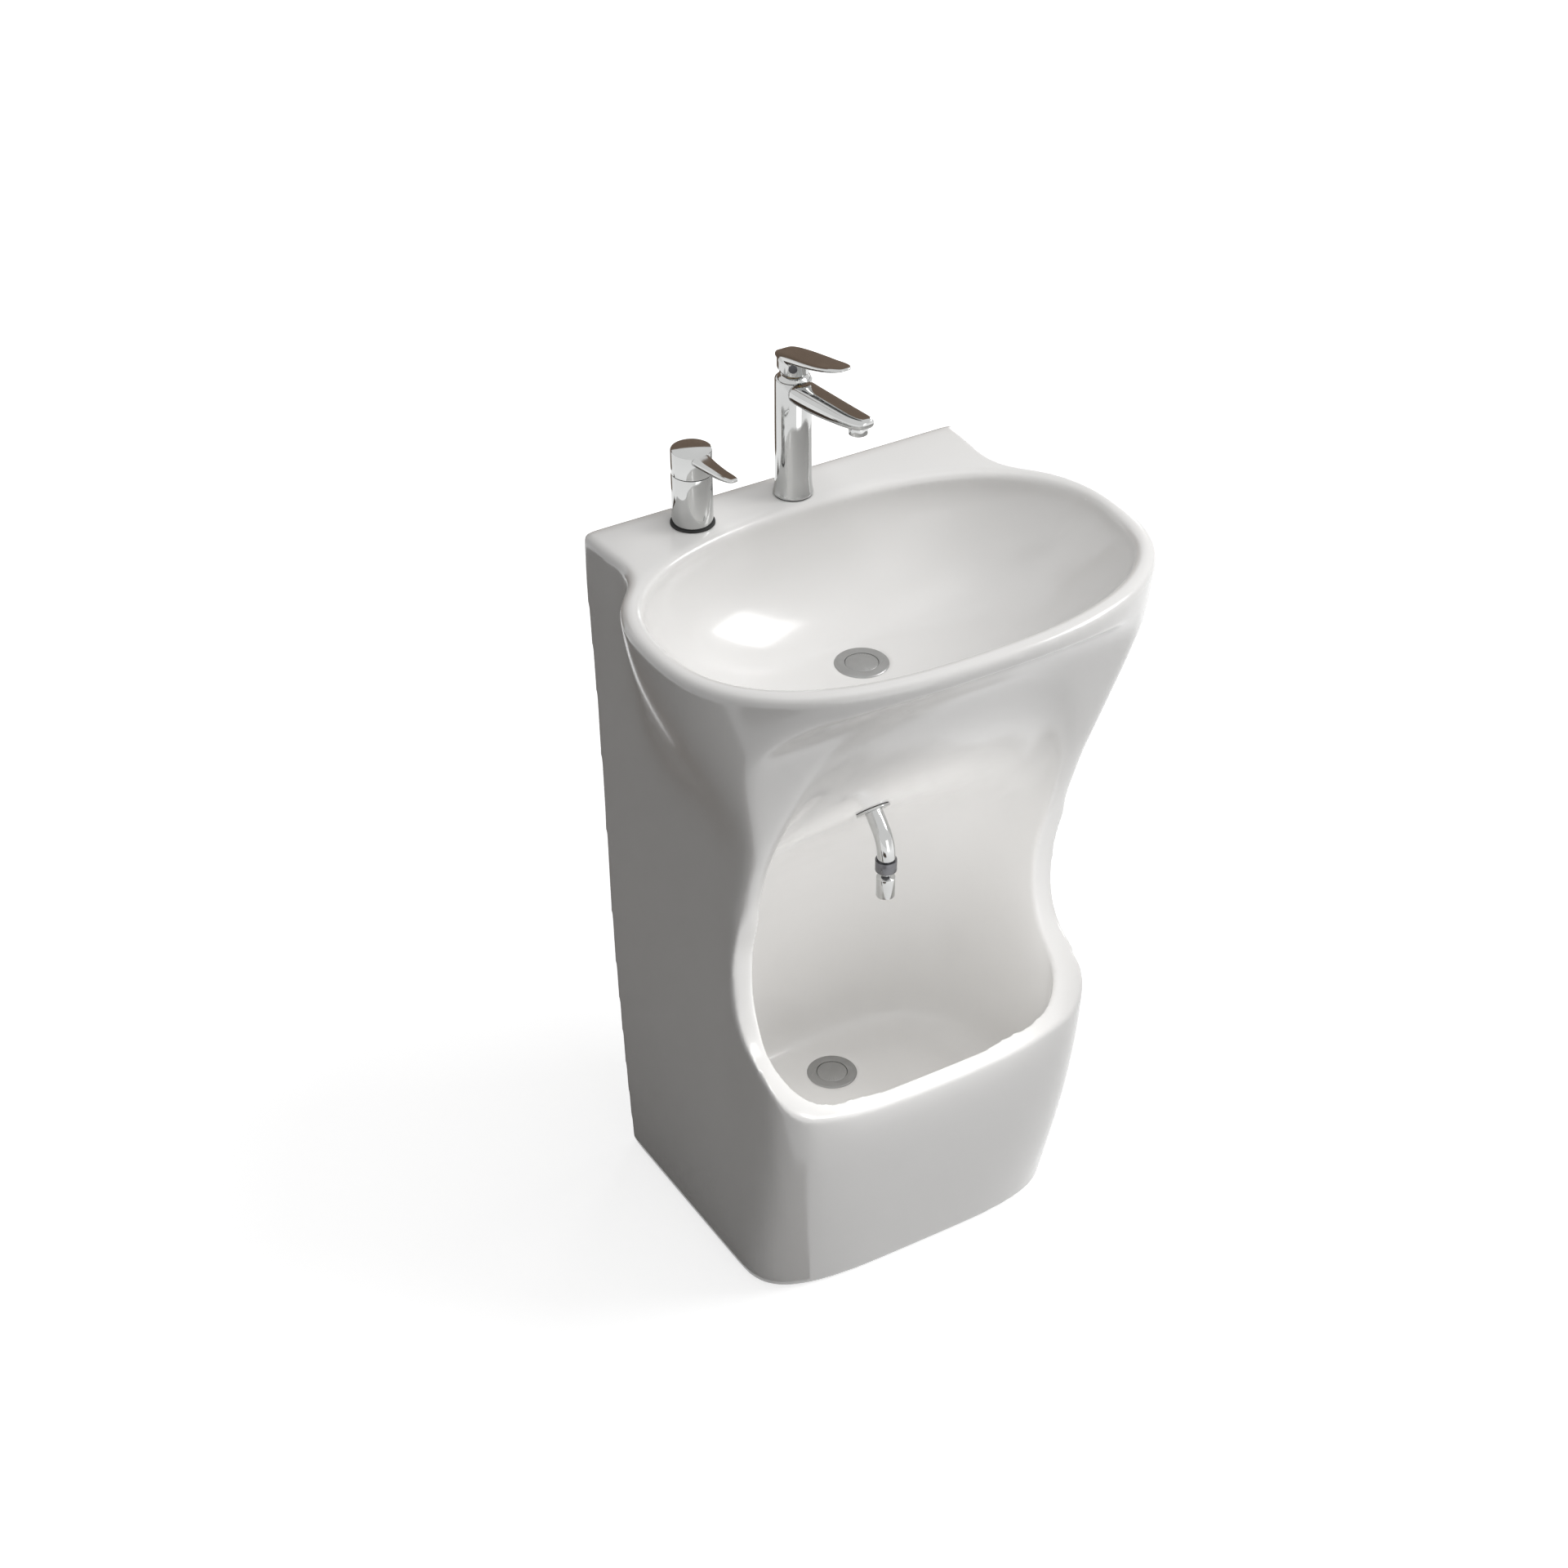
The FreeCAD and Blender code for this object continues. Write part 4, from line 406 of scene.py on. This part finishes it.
# Plain finishes: material name, two colours, cloud (scale, detail, roughness), least roughness and its
# spread, grain (scale, detail, distance, strength), and other sockets of the shader.
PLAIN_FINISHES = {
    # Dark metal for the foot spout's collar is painted shade: it stands in for the shadow in the gap at the
    # collar's top edge.
    "dark_ring": ("dark_ring", ((0.2, 0.2, 0.21), (0.14, 0.14, 0.15)),
                  (60.0, 3.0), (0.22, 0.12), None, {"Metallic": 1.0}),
    "brass": ("turned_brass", ((0.66, 0.46, 0.2), (0.46, 0.31, 0.15)),
              (45.0, 5.0, 0.6), (0.24, 0.24), (1200.0, 2.0, 0.00005, 0.3), {"Metallic": 1.0}),
    "copper": ("copper_tail", ((0.68, 0.36, 0.24), (0.42, 0.22, 0.15)),
               (38.0, 5.0, 0.6), (0.25, 0.25), None, {"Metallic": 1.0}),
    "rubber": ("black_rubber", ((0.022, 0.022, 0.022), (0.05, 0.05, 0.05)),
               (90.0, 4.0), (0.62, 0.2), (2200.0, 2.0, 0.00008, 0.5), {"Specular_IOR_Level": 0.35}),
    "plastic": ("white_plastic", ((0.74, 0.74, 0.72), (0.67, 0.67, 0.64)),
                (22.0, 3.0), (0.34, 0.12), (1500.0, 2.0, 0.00006, 0.4), {"Specular_IOR_Level": 0.45}),
    "index": ("grey_plastic", ((0.05, 0.05, 0.06), (0.085, 0.085, 0.1)),
              (160.0, 3.0), (0.18, 0.1), None, {"Coat_Weight": 0.4, "Coat_Roughness": 0.05}),
}


def make_finishes(ceramic, taps):
    """Every finish of the sink, by a plain name."""
    glaze = Finish("white_glaze")
    place = glaze.place()
    cloud = glaze.noise(place, 4.0)
    ripple = glaze.noise(place, 26.0, 1.0)
    peel = glaze.noise(place, 240.0, 2.0)
    FINISHES["glaze"] = glaze.give(
        Base_Color=glaze.blend(cloud, ceramic.glaze_colour, ceramic.thin_glaze_colour),
        Roughness=0.17 + cloud * 0.06, Coat_Weight=0.35, Coat_Roughness=0.1,
        Normal=glaze.relief(ripple + peel * 0.03, 0.0006, 0.35))
    FINISHES["chrome"] = clouded(
        "chrome_plate", (taps.chrome_colour, dimmed(taps.chrome_colour, 0.92)), (35.0, 4.0),
        (taps.chrome_roughness * 0.6, taps.chrome_roughness), (900.0, 2.0, 0.00002, 0.2), Metallic=1.0)
    FINISHES["steel"] = clouded(
        "satin_steel", (taps.steel_colour, dimmed(taps.steel_colour, 0.86)), (70.0, 4.0),
        (0.32, 0.16), (1400.0, 3.0, 0.00005, 0.3), Metallic=0.85)
    for finish, (name, colours, cloud, rough, grain, others) in PLAIN_FINISHES.items():
        FINISHES[finish] = clouded(name, colours, cloud, rough, grain, **others)


# The finish of each slot of the record, and of single solids that look different from their slot.
SLOT_FINISH = {"white_glaze": "glaze", "black_rubber": "rubber", "white_plastic": "plastic", "brass": "brass",
               "stainless_steel": "steel", "grey_plastic": "index", "chrome_plate": "chrome"}
OWN_FINISH = {"mixer_hot_tail": "copper", "mixer_cold_tail": "copper", "valve_inlet_tail": "copper",
              "valve_outlet_tail": "copper", "feed_pipe": "copper", "mixer_cartridge_nut": "chrome",
              # The collar's dark finish is painted shade for the shadow in the gap at its top edge.
              "foot_spout_collar": "dark_ring"}


def slot_of(node):
    """The slot that the record gives a solid."""
    return next(row["material_slot"] for row in frame["record"]["subparts"] if row["node"] == node)


def finish_of(node):
    """The material of a solid."""
    return FINISHES[OWN_FINISH.get(node) or SLOT_FINISH[slot_of(node)]]


def body_of(node):
    """The moving body that a solid belongs to."""
    return frame["nodes"][node]["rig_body"]


# ---------------------------------------------------------------- modelling by hand


def bench_clear():
    """Nothing selected and nothing being edited."""
    if bpy.context.object and bpy.context.object.mode != "OBJECT":
        bpy.ops.object.mode_set(mode="OBJECT")
    bpy.ops.object.select_all(action="DESELECT")


def take(*pieces):
    """These pieces selected, the first one active."""
    bench_clear()
    for piece in pieces:
        piece.select_set(True)
    bpy.context.view_layer.objects.active = pieces[0]
    return pieces[0]


def apply_modifier(kind, **settings):
    """A modifier on the active piece, made real at once."""
    bpy.ops.object.modifier_add(type=kind)
    modifier = bpy.context.object.modifiers[-1]
    for name, value in settings.items():
        setattr(modifier, name, value)
    bpy.ops.object.modifier_apply(modifier=modifier.name)


def close_up():
    """Doubles merged and faces turned outwards, on the piece being edited."""
    bpy.ops.mesh.select_all(action="SELECT")
    bpy.ops.mesh.remove_doubles(threshold=MERGE)
    bpy.ops.mesh.normals_make_consistent(inside=False)
    bpy.ops.object.mode_set(mode="OBJECT")


def thin_out(piece, most):
    """A piece with more triangles than this brought down to them."""
    triangles = sum(len(face.vertices) - 2 for face in piece.data.polygons)
    if triangles > most:
        apply_modifier("DECIMATE", ratio=most / triangles)


def turned(centre, rings, sides=96):
    """A closed piece turned round an upright axis, from rings of (radius, height over the centre)."""
    radius, height = rings[0]
    bench_clear()
    bpy.ops.mesh.primitive_circle_add(vertices=sides, radius=radius, fill_type="NGON",
                                      location=centre + Vector((0, 0, height)))
    bpy.ops.object.mode_set(mode="EDIT")
    bpy.ops.mesh.select_all(action="SELECT")
    for wider, higher in rings[1:]:
        bpy.ops.mesh.extrude_region_move(TRANSFORM_OT_translate={"value": (0, 0, higher - height)})
        share = wider / radius
        bpy.ops.transform.resize(value=(share, share, 1), center_override=centre + Vector((0, 0, higher)))
        radius, height = wider, higher
    close_up()
    return bpy.context.object


def stretched(table, reach, width):
    """Sections of (reach, underside, top, half width) from a bar's table, unstretched behind the axis."""
    end = table[-1][0]
    return [(place if place < 0 else reach * place / end, low, high, width * share)
            for place, low, high, share in table]


def drawn(centre, sections, roundness):
    """A closed bar drawn forwards through sections of (reach, underside, top, half width)."""
    reach, low, high, half = sections[0]
    middle = centre + Vector((0, -reach, (low + high) / 2))
    tall = (high - low) / 2
    bench_clear()
    bpy.ops.mesh.primitive_plane_add(size=2, location=middle, rotation=(math.pi / 2, 0, 0))
    bpy.ops.object.mode_set(mode="EDIT")
    bpy.ops.mesh.select_all(action="SELECT")
    bpy.ops.transform.resize(value=(half, 1, tall), center_override=middle)
    bpy.ops.mesh.bevel(offset=min(half, tall) * roundness, segments=7, affect="VERTICES")
    for reach, low, high, wide in sections[1:]:
        goal = centre + Vector((0, -reach, (low + high) / 2))
        bpy.ops.mesh.extrude_region_move(TRANSFORM_OT_translate={"value": goal - middle})
        rise = (high - low) / 2
        bpy.ops.transform.resize(value=(wide / half, 1, rise / tall), center_override=goal)
        middle, half, tall = goal, wide, rise
    close_up()
    return bpy.context.object


def hand_over(name, node, angle, replaces=None):
    """The active piece finished: placed in its mesh, smoothed, coloured, and riding in place of its solid."""
    piece = bpy.context.object
    take(piece)
    piece.name = name
    piece.data.name = name
    bpy.ops.object.transform_apply(location=True, rotation=True, scale=True)
    bpy.ops.object.shade_smooth_by_angle(angle=math.radians(angle))
    piece.data.materials.clear()
    piece.data.materials.append(finish_of(node))
    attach(piece, body_of(node))
    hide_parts(*(replaces or (node,)))


def merged_copy(node, name):
    """A copy of a solid's mesh with its loose triangles joined up."""
    bench_clear()
    piece = bpy.data.objects.new(name, frame["nodes"][node].data.copy())
    bpy.context.scene.collection.objects.link(piece)
    take(piece)
    bpy.ops.object.mode_set(mode="EDIT")
    bpy.ops.mesh.select_all(action="SELECT")
    bpy.ops.mesh.remove_doubles(threshold=WELD)
    bpy.ops.object.mode_set(mode="OBJECT")
    return piece


def dressed(node, edge=0.0):
    """A solid's copy with smooth faces, and with broken edges if their width is given."""
    merged_copy(node, node + "_finished")
    if edge:
        bpy.ops.object.mode_set(mode="EDIT")
        bpy.ops.mesh.select_all(action="SELECT")
        bpy.ops.mesh.dissolve_limited(angle_limit=math.radians(0.3))
        bpy.ops.object.mode_set(mode="OBJECT")
        apply_modifier("BEVEL", width=edge, segments=2, limit_method="ANGLE", angle_limit=math.radians(40))
    hand_over(node + "_finished", node, FITTING_ANGLE)


# ---------------------------------------------------------------- operators


class SINK_OT_glazed_ceramic(Operator):
    """Join the castings, soften their edges as sponged clay, and glaze them"""

    bl_idname = "sink.glazed_ceramic"
    bl_label = "Glazed ceramic"

    def execute(self, context):
        settings = context.scene.sink_ceramic
        parts = [merged_copy(node, "ceramic_part_%d" % i) for i, node in enumerate(CASTINGS)]
        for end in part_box(CASTINGS[1]):
            self.lap_seam(parts[1], end.z)
        body = take(*parts)
        bpy.ops.object.join()
        apply_modifier("REMESH", mode="VOXEL", voxel_size=settings.edge_softness, adaptivity=0.0)
        self.sponge(body, settings.brow_rounds, ZONE_FADE, self.brow)
        self.sponge(body, settings.wing_rounds, ZONE_FADE, self.wing)
        self.sponge(body, settings.back_rounds, WALL_FADE, self.wall_edge)
        apply_modifier("SMOOTH", factor=0.5, iterations=settings.sponging_rounds)
        thin_out(body, settings.most_triangles)
        hand_over("ceramic_body", CASTINGS[0], SOFT_ANGLE, CASTINGS)
        return {"FINISHED"}

    def brow(self, x, y, z):
        """Depths of a point inside the brow over the alcove."""
        return BROW_SIDE - x, z - BROW_FOOT, ZONE_TOP - z, BROW_BACK - y

    def wing(self, x, y, z):
        """Depths of a point inside the hollow beside the bowl."""
        return x - WING_SIDE, z - WING_FOOT, ZONE_TOP - z, WING_BACK - y

    def wall_edge(self, x, y, z):
        """Depth of a point inside the strip that stands at the wall."""
        return (y - WALL_EDGE,)

    def sponge(self, body, rounds, fade, depths):
        """Smooth a zone of the clay, given by a point's depths inside its borders, on both sides alike."""
        zone = body.vertex_groups.new(name="zone")
        for vertex in body.data.vertices:
            x, y, z = vertex.co
            weight = 1.0
            for depth in depths(abs(x), y, z):
                weight *= min(max(depth / fade, 0.0), 1.0)
            if weight > LEAST_SHARE:
                zone.add([vertex.index], weight, "REPLACE")
        take(body)
        apply_modifier("SMOOTH", factor=0.5, iterations=rounds, vertex_group="zone")
        body.vertex_groups.clear()

    def lap_seam(self, column, level):
        """Draw one flat end of the column a little way into its neighbour."""
        take(column)
        bpy.ops.object.mode_set(mode="EDIT")
        bpy.ops.mesh.select_mode(type="FACE")
        bpy.ops.mesh.select_all(action="DESELECT")
        bpy.ops.object.mode_set(mode="OBJECT")
        outwards = 0
        for face in column.data.polygons:
            if abs(face.normal.z) > SEAM_LEVEL and abs(face.center.z - level) < SEAM_REACH:
                face.select = True
                outwards = math.copysign(SEAM_LAP, face.normal.z)
        bpy.ops.object.mode_set(mode="EDIT")
        bpy.ops.mesh.extrude_region_move(TRANSFORM_OT_translate={"value": (0, 0, outwards)})
        bpy.ops.object.mode_set(mode="OBJECT")


class SINK_OT_mixer_body(Operator):
    """Turn the mixer's column and draw its spout"""

    bl_idname = "sink.mixer_body"
    bl_label = "Mixer column and spout"

    def execute(self, context):
        taps = context.scene.sink_taps
        column, height = taps.column_radius, taps.column_height
        foot, flare = taps.foot_radius, taps.flare_height
        rings = [(foot - 0.0006, 0.0008), (foot, 0.0014), (foot, 0.0034), (foot - FOOT_EASE, FOOT_TOP)]
        for i in range(1, FLARE_STEPS + 1):
            share = i / FLARE_STEPS
            rings.append((column + (foot - FOOT_EASE - column) * (1 - share) ** FLARE_CURVE,
                          FOOT_TOP + (flare - FOOT_TOP) * share))
        rings += [(column, height - 0.0012), (column - 0.0004, height - 0.0004), (column - 0.0012, height),
                  (0.0178, height), (0.0176, height - 0.0003), (0.0176, height - 0.008)]
        turned(MIXER, rings)
        hand_over("mixer_column", "mixer_body", TURNED_ANGLE)
        drawn(MIXER, stretched(SPOUT, taps.spout_reach, taps.spout_width), 0.97)
        apply_modifier("SUBSURF", levels=2, render_levels=2)
        hand_over("mixer_spout", "mixer_body", SOFT_ANGLE)
        return {"FINISHED"}


class SINK_OT_mixer_lever(Operator):
    """Draw the paddle lever and blend it into its hub"""

    bl_idname = "sink.mixer_lever"
    bl_label = "Mixer lever"

    def execute(self, context):
        taps = context.scene.sink_taps
        lever = drawn(MIXER, stretched(PADDLE, taps.lever_reach, taps.lever_width), 0.95)
        apply_modifier("SUBSURF", levels=2, render_levels=2)
        radius = taps.hub_radius
        hub = turned(MIXER, [(radius - 0.0006, 0.1478), (radius, 0.1484), (radius, 0.164),
                             (radius - 0.0008, 0.1665), (radius - 0.003, 0.1682)], HUB_SIDES)
        take(hub)
        bpy.ops.object.mode_set(mode="EDIT")
        bpy.ops.mesh.select_all(action="SELECT")
        bpy.ops.mesh.bisect(plane_co=MIXER + Vector((0, 0, HUB_CUT_HEIGHT)), plane_no=HUB_CUT_NORMAL,
                            use_fill=True, clear_outer=True)
        bpy.ops.mesh.select_all(action="SELECT")
        bpy.ops.mesh.normals_make_consistent(inside=False)
        bpy.ops.object.mode_set(mode="OBJECT")
        take(lever, hub)
        bpy.ops.object.join()
        apply_modifier("REMESH", mode="VOXEL", voxel_size=HUB_GRAIN, adaptivity=0.0)
        apply_modifier("SMOOTH", factor=0.5, iterations=HUB_ROUNDS)
        thin_out(lever, HUB_TRIANGLES)
        hand_over("mixer_lever_paddle", "mixer_lever", SOFT_ANGLE)
        return {"FINISHED"}


class SINK_OT_foot_valve(Operator):
    """Turn the foot valve's cap and draw its lever"""

    bl_idname = "sink.foot_valve"
    bl_label = "Foot valve cap and lever"

    def execute(self, context):
        taps = context.scene.sink_taps
        radius = taps.valve_radius
        turned(VALVE, [(radius - 0.0005, 0.0625), (radius, 0.063), (radius, 0.0892), (radius - 0.0004, 0.09),
                       (radius - 0.0013, 0.0905)])
        hand_over("foot_valve_cap", "valve_handle", TURNED_ANGLE)
        drawn(VALVE, stretched(VALVE_LEVER, taps.valve_lever_reach, VALVE_LEVER_WIDTH), 0.95)
        apply_modifier("SUBSURF", levels=2, render_levels=2)
        hand_over("foot_valve_lever", "valve_handle", SOFT_ANGLE)
        return {"FINISHED"}


class SINK_OT_front_fittings(Operator):
    """Break the edges of the fittings that show at the front and give them their finish"""

    bl_idname = "sink.front_fittings"
    bl_label = "Wastes, valve body and foot spout"

    def execute(self, context):
        for node in EDGE_FITTINGS:
            dressed(node, EDGE_BREAK)
        dressed("foot_spout_arm")
        return {"FINISHED"}


class SINK_OT_hidden_plumbing(Operator):
    """Smooth the pipes, nuts and shanks behind the ceramic and give every other solid its finish"""

    bl_idname = "sink.hidden_plumbing"
    bl_label = "Hidden plumbing"

    def execute(self, context):
        for node in ROUND_FITTINGS:
            dressed(node)
        for node, solid in frame["nodes"].items():
            solid.data.materials.clear()
            solid.data.materials.append(finish_of(node))
        return {"FINISHED"}


class SINK_OT_stage(Operator):
    """Set the floor, the sky, the lamps, the dark cards and the camera"""

    bl_idname = "sink.stage"
    bl_label = "Stage"

    def execute(self, context):
        stage = context.scene.sink_stage
        self.floor(stage)
        self.sky(context, stage)
        self.lamps(context, stage)
        self.cards()
        self.camera(context, stage)
        context.scene.view_settings.view_transform = "Standard"
        return {"FINISHED"}

    def floor(self, stage):
        """The floor, lifted towards white for the camera and for shines."""
        bench_clear()
        bpy.ops.mesh.primitive_plane_add(size=FLOOR_SIZE, location=(0, 0, -FLOOR_DROP))
        floor = bpy.context.object
        floor.name = "floor"
        finish = Finish("floor")
        place = finish.place()
        cloud = finish.noise(place, 1.3)
        paint = finish.shader(
            Base_Color=finish.blend(cloud, stage.floor_colour, dimmed(stage.floor_colour, 0.99)),
            Roughness=0.7, Specular_IOR_Level=0.1)
        distance = finish.add("ShaderNodeVectorMath", {"operation": "LENGTH"}, {0: place}, "Value")
        away = finish.add("ShaderNodeMapRange", {},
                          {"Value": distance, "From Min": FLOOR_NEAR, "From Max": FLOOR_FAR}, "Result")
        near = (stage.floor_glow,) * 3
        glow = finish.add("ShaderNodeEmission", {}, {"Color": finish.blend(away, near, WHITE)})
        lifted = finish.add("ShaderNodeAddShader", {}, {0: paint, 1: glow})
        finish.surface(finish.add("ShaderNodeMixShader", {}, {0: finish.in_view(), 1: paint, 2: lifted}))
        floor.data.materials.append(finish.material)

    def sky(self, context, stage):
        """Even light from all round, with plain white for the camera and for shines."""
        world = bpy.data.worlds.new("sky")
        context.scene.world = world
        world.use_nodes = True
        bench = NodeBench(world.node_tree)
        even = bench.add("ShaderNodeBackground", {}, {"Color": WHITE, "Strength": stage.sky_level})
        white = bench.add("ShaderNodeBackground", {}, {"Color": WHITE, "Strength": 1.0})
        both = bench.add("ShaderNodeMixShader", {}, {0: bench.in_view(), 1: even, 2: white})
        bench.add("ShaderNodeOutputWorld", {}, {"Surface": both})

    def lamps(self, context, stage):
        """Square lamps that the camera doesn't see, each with the power of its own setting."""
        for name, place, aim, size, shines in LAMPS:
            data = bpy.data.lights.new(name, "AREA")
            data.shape = "SQUARE"
            data.size = size
            data.energy = getattr(stage, name + "_power")
            lamp = bpy.data.objects.new(name, data)
            context.scene.collection.objects.link(lamp)
            lamp.location = place
            lamp.rotation_euler = (Vector(aim) - Vector(place)).to_track_quat("-Z", "Y").to_euler()
            lamp.visible_camera = False
            lamp.visible_glossy = shines

    def cards(self):
        """Dark cards that only the shine of metal and glaze sees."""
        for name, place, turn, size, paler in CARDS:
            bench_clear()
            bpy.ops.mesh.primitive_plane_add(size=1, location=place, rotation=turn)
            card = bpy.context.object
            card.name = name
            bpy.ops.transform.resize(value=size)
            bpy.ops.object.transform_apply(location=True, rotation=True, scale=True)
            card.visible_camera = False
            card.visible_diffuse = False
            card.visible_transmission = False
            card.visible_shadow = False
            finish = Finish(name)
            cloud = finish.noise(finish.place(), 2.0, 1.0)
            colours = [dimmed(colour, paler) for colour in CARD_COLOURS]
            card.data.materials.append(finish.give(
                Base_Color=finish.blend(cloud, *colours), Roughness=0.9, Specular_IOR_Level=0.1))

    def camera(self, context, stage):
        """The camera, where the photograph was taken from."""
        data = bpy.data.cameras.new("camera")
        data.sensor_width = SENSOR_WIDTH
        data.lens = stage.camera_lens
        camera = bpy.data.objects.new("camera", data)
        context.scene.collection.objects.link(camera)
        camera.location = stage.camera_place
        camera.rotation_euler = (math.pi / 2 - stage.camera_tilt, 0, stage.camera_turn)
        context.scene.camera = camera


class SINK_PT_panel(Panel):
    """Sizes, finishes and steps of the pedestal sink"""

    bl_label = "Pedestal Sink"
    bl_idname = "SINK_PT_panel"
    bl_space_type = "VIEW_3D"
    bl_region_type = "UI"
    bl_category = "Sink"

    def draw(self, context):
        for group in (context.scene.sink_ceramic, context.scene.sink_taps, context.scene.sink_stage):
            box = self.layout.box()
            for name in group.bl_rna.properties.keys():
                if name not in ("rna_type", "name"):
                    box.prop(group, name)
        for step in STEPS:
            self.layout.operator(step.bl_idname)


SETTINGS = (("sink_ceramic", SinkCeramicSettings), ("sink_taps", SinkTapSettings),
            ("sink_stage", SinkStageSettings))
STEPS = (SINK_OT_stage, SINK_OT_glazed_ceramic, SINK_OT_mixer_body, SINK_OT_mixer_lever, SINK_OT_foot_valve,
         SINK_OT_front_fittings, SINK_OT_hidden_plumbing)


def register():
    """Add the settings, the steps and the panel to Blender."""
    for name, group in SETTINGS:
        bpy.utils.register_class(group)
        setattr(bpy.types.Scene, name, PointerProperty(type=group))
    for step in STEPS:
        bpy.utils.register_class(step)
    bpy.utils.register_class(SINK_PT_panel)


def unregister():
    """Take the panel, the steps and the settings out of Blender again."""
    bpy.utils.unregister_class(SINK_PT_panel)
    for step in reversed(STEPS):
        bpy.utils.unregister_class(step)
    for name, group in reversed(SETTINGS):
        delattr(bpy.types.Scene, name)
        bpy.utils.unregister_class(group)


def main():
    """Every step in order."""
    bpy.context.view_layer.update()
    register()
    make_finishes(bpy.context.scene.sink_ceramic, bpy.context.scene.sink_taps)
    bpy.ops.sink.stage()
    bpy.ops.sink.glazed_ceramic()
    bpy.ops.sink.mixer_body()
    bpy.ops.sink.mixer_lever()
    bpy.ops.sink.foot_valve()
    bpy.ops.sink.front_fittings()
    bpy.ops.sink.hidden_plumbing()
    bench_clear()


if __name__ == "__main__":
    main()
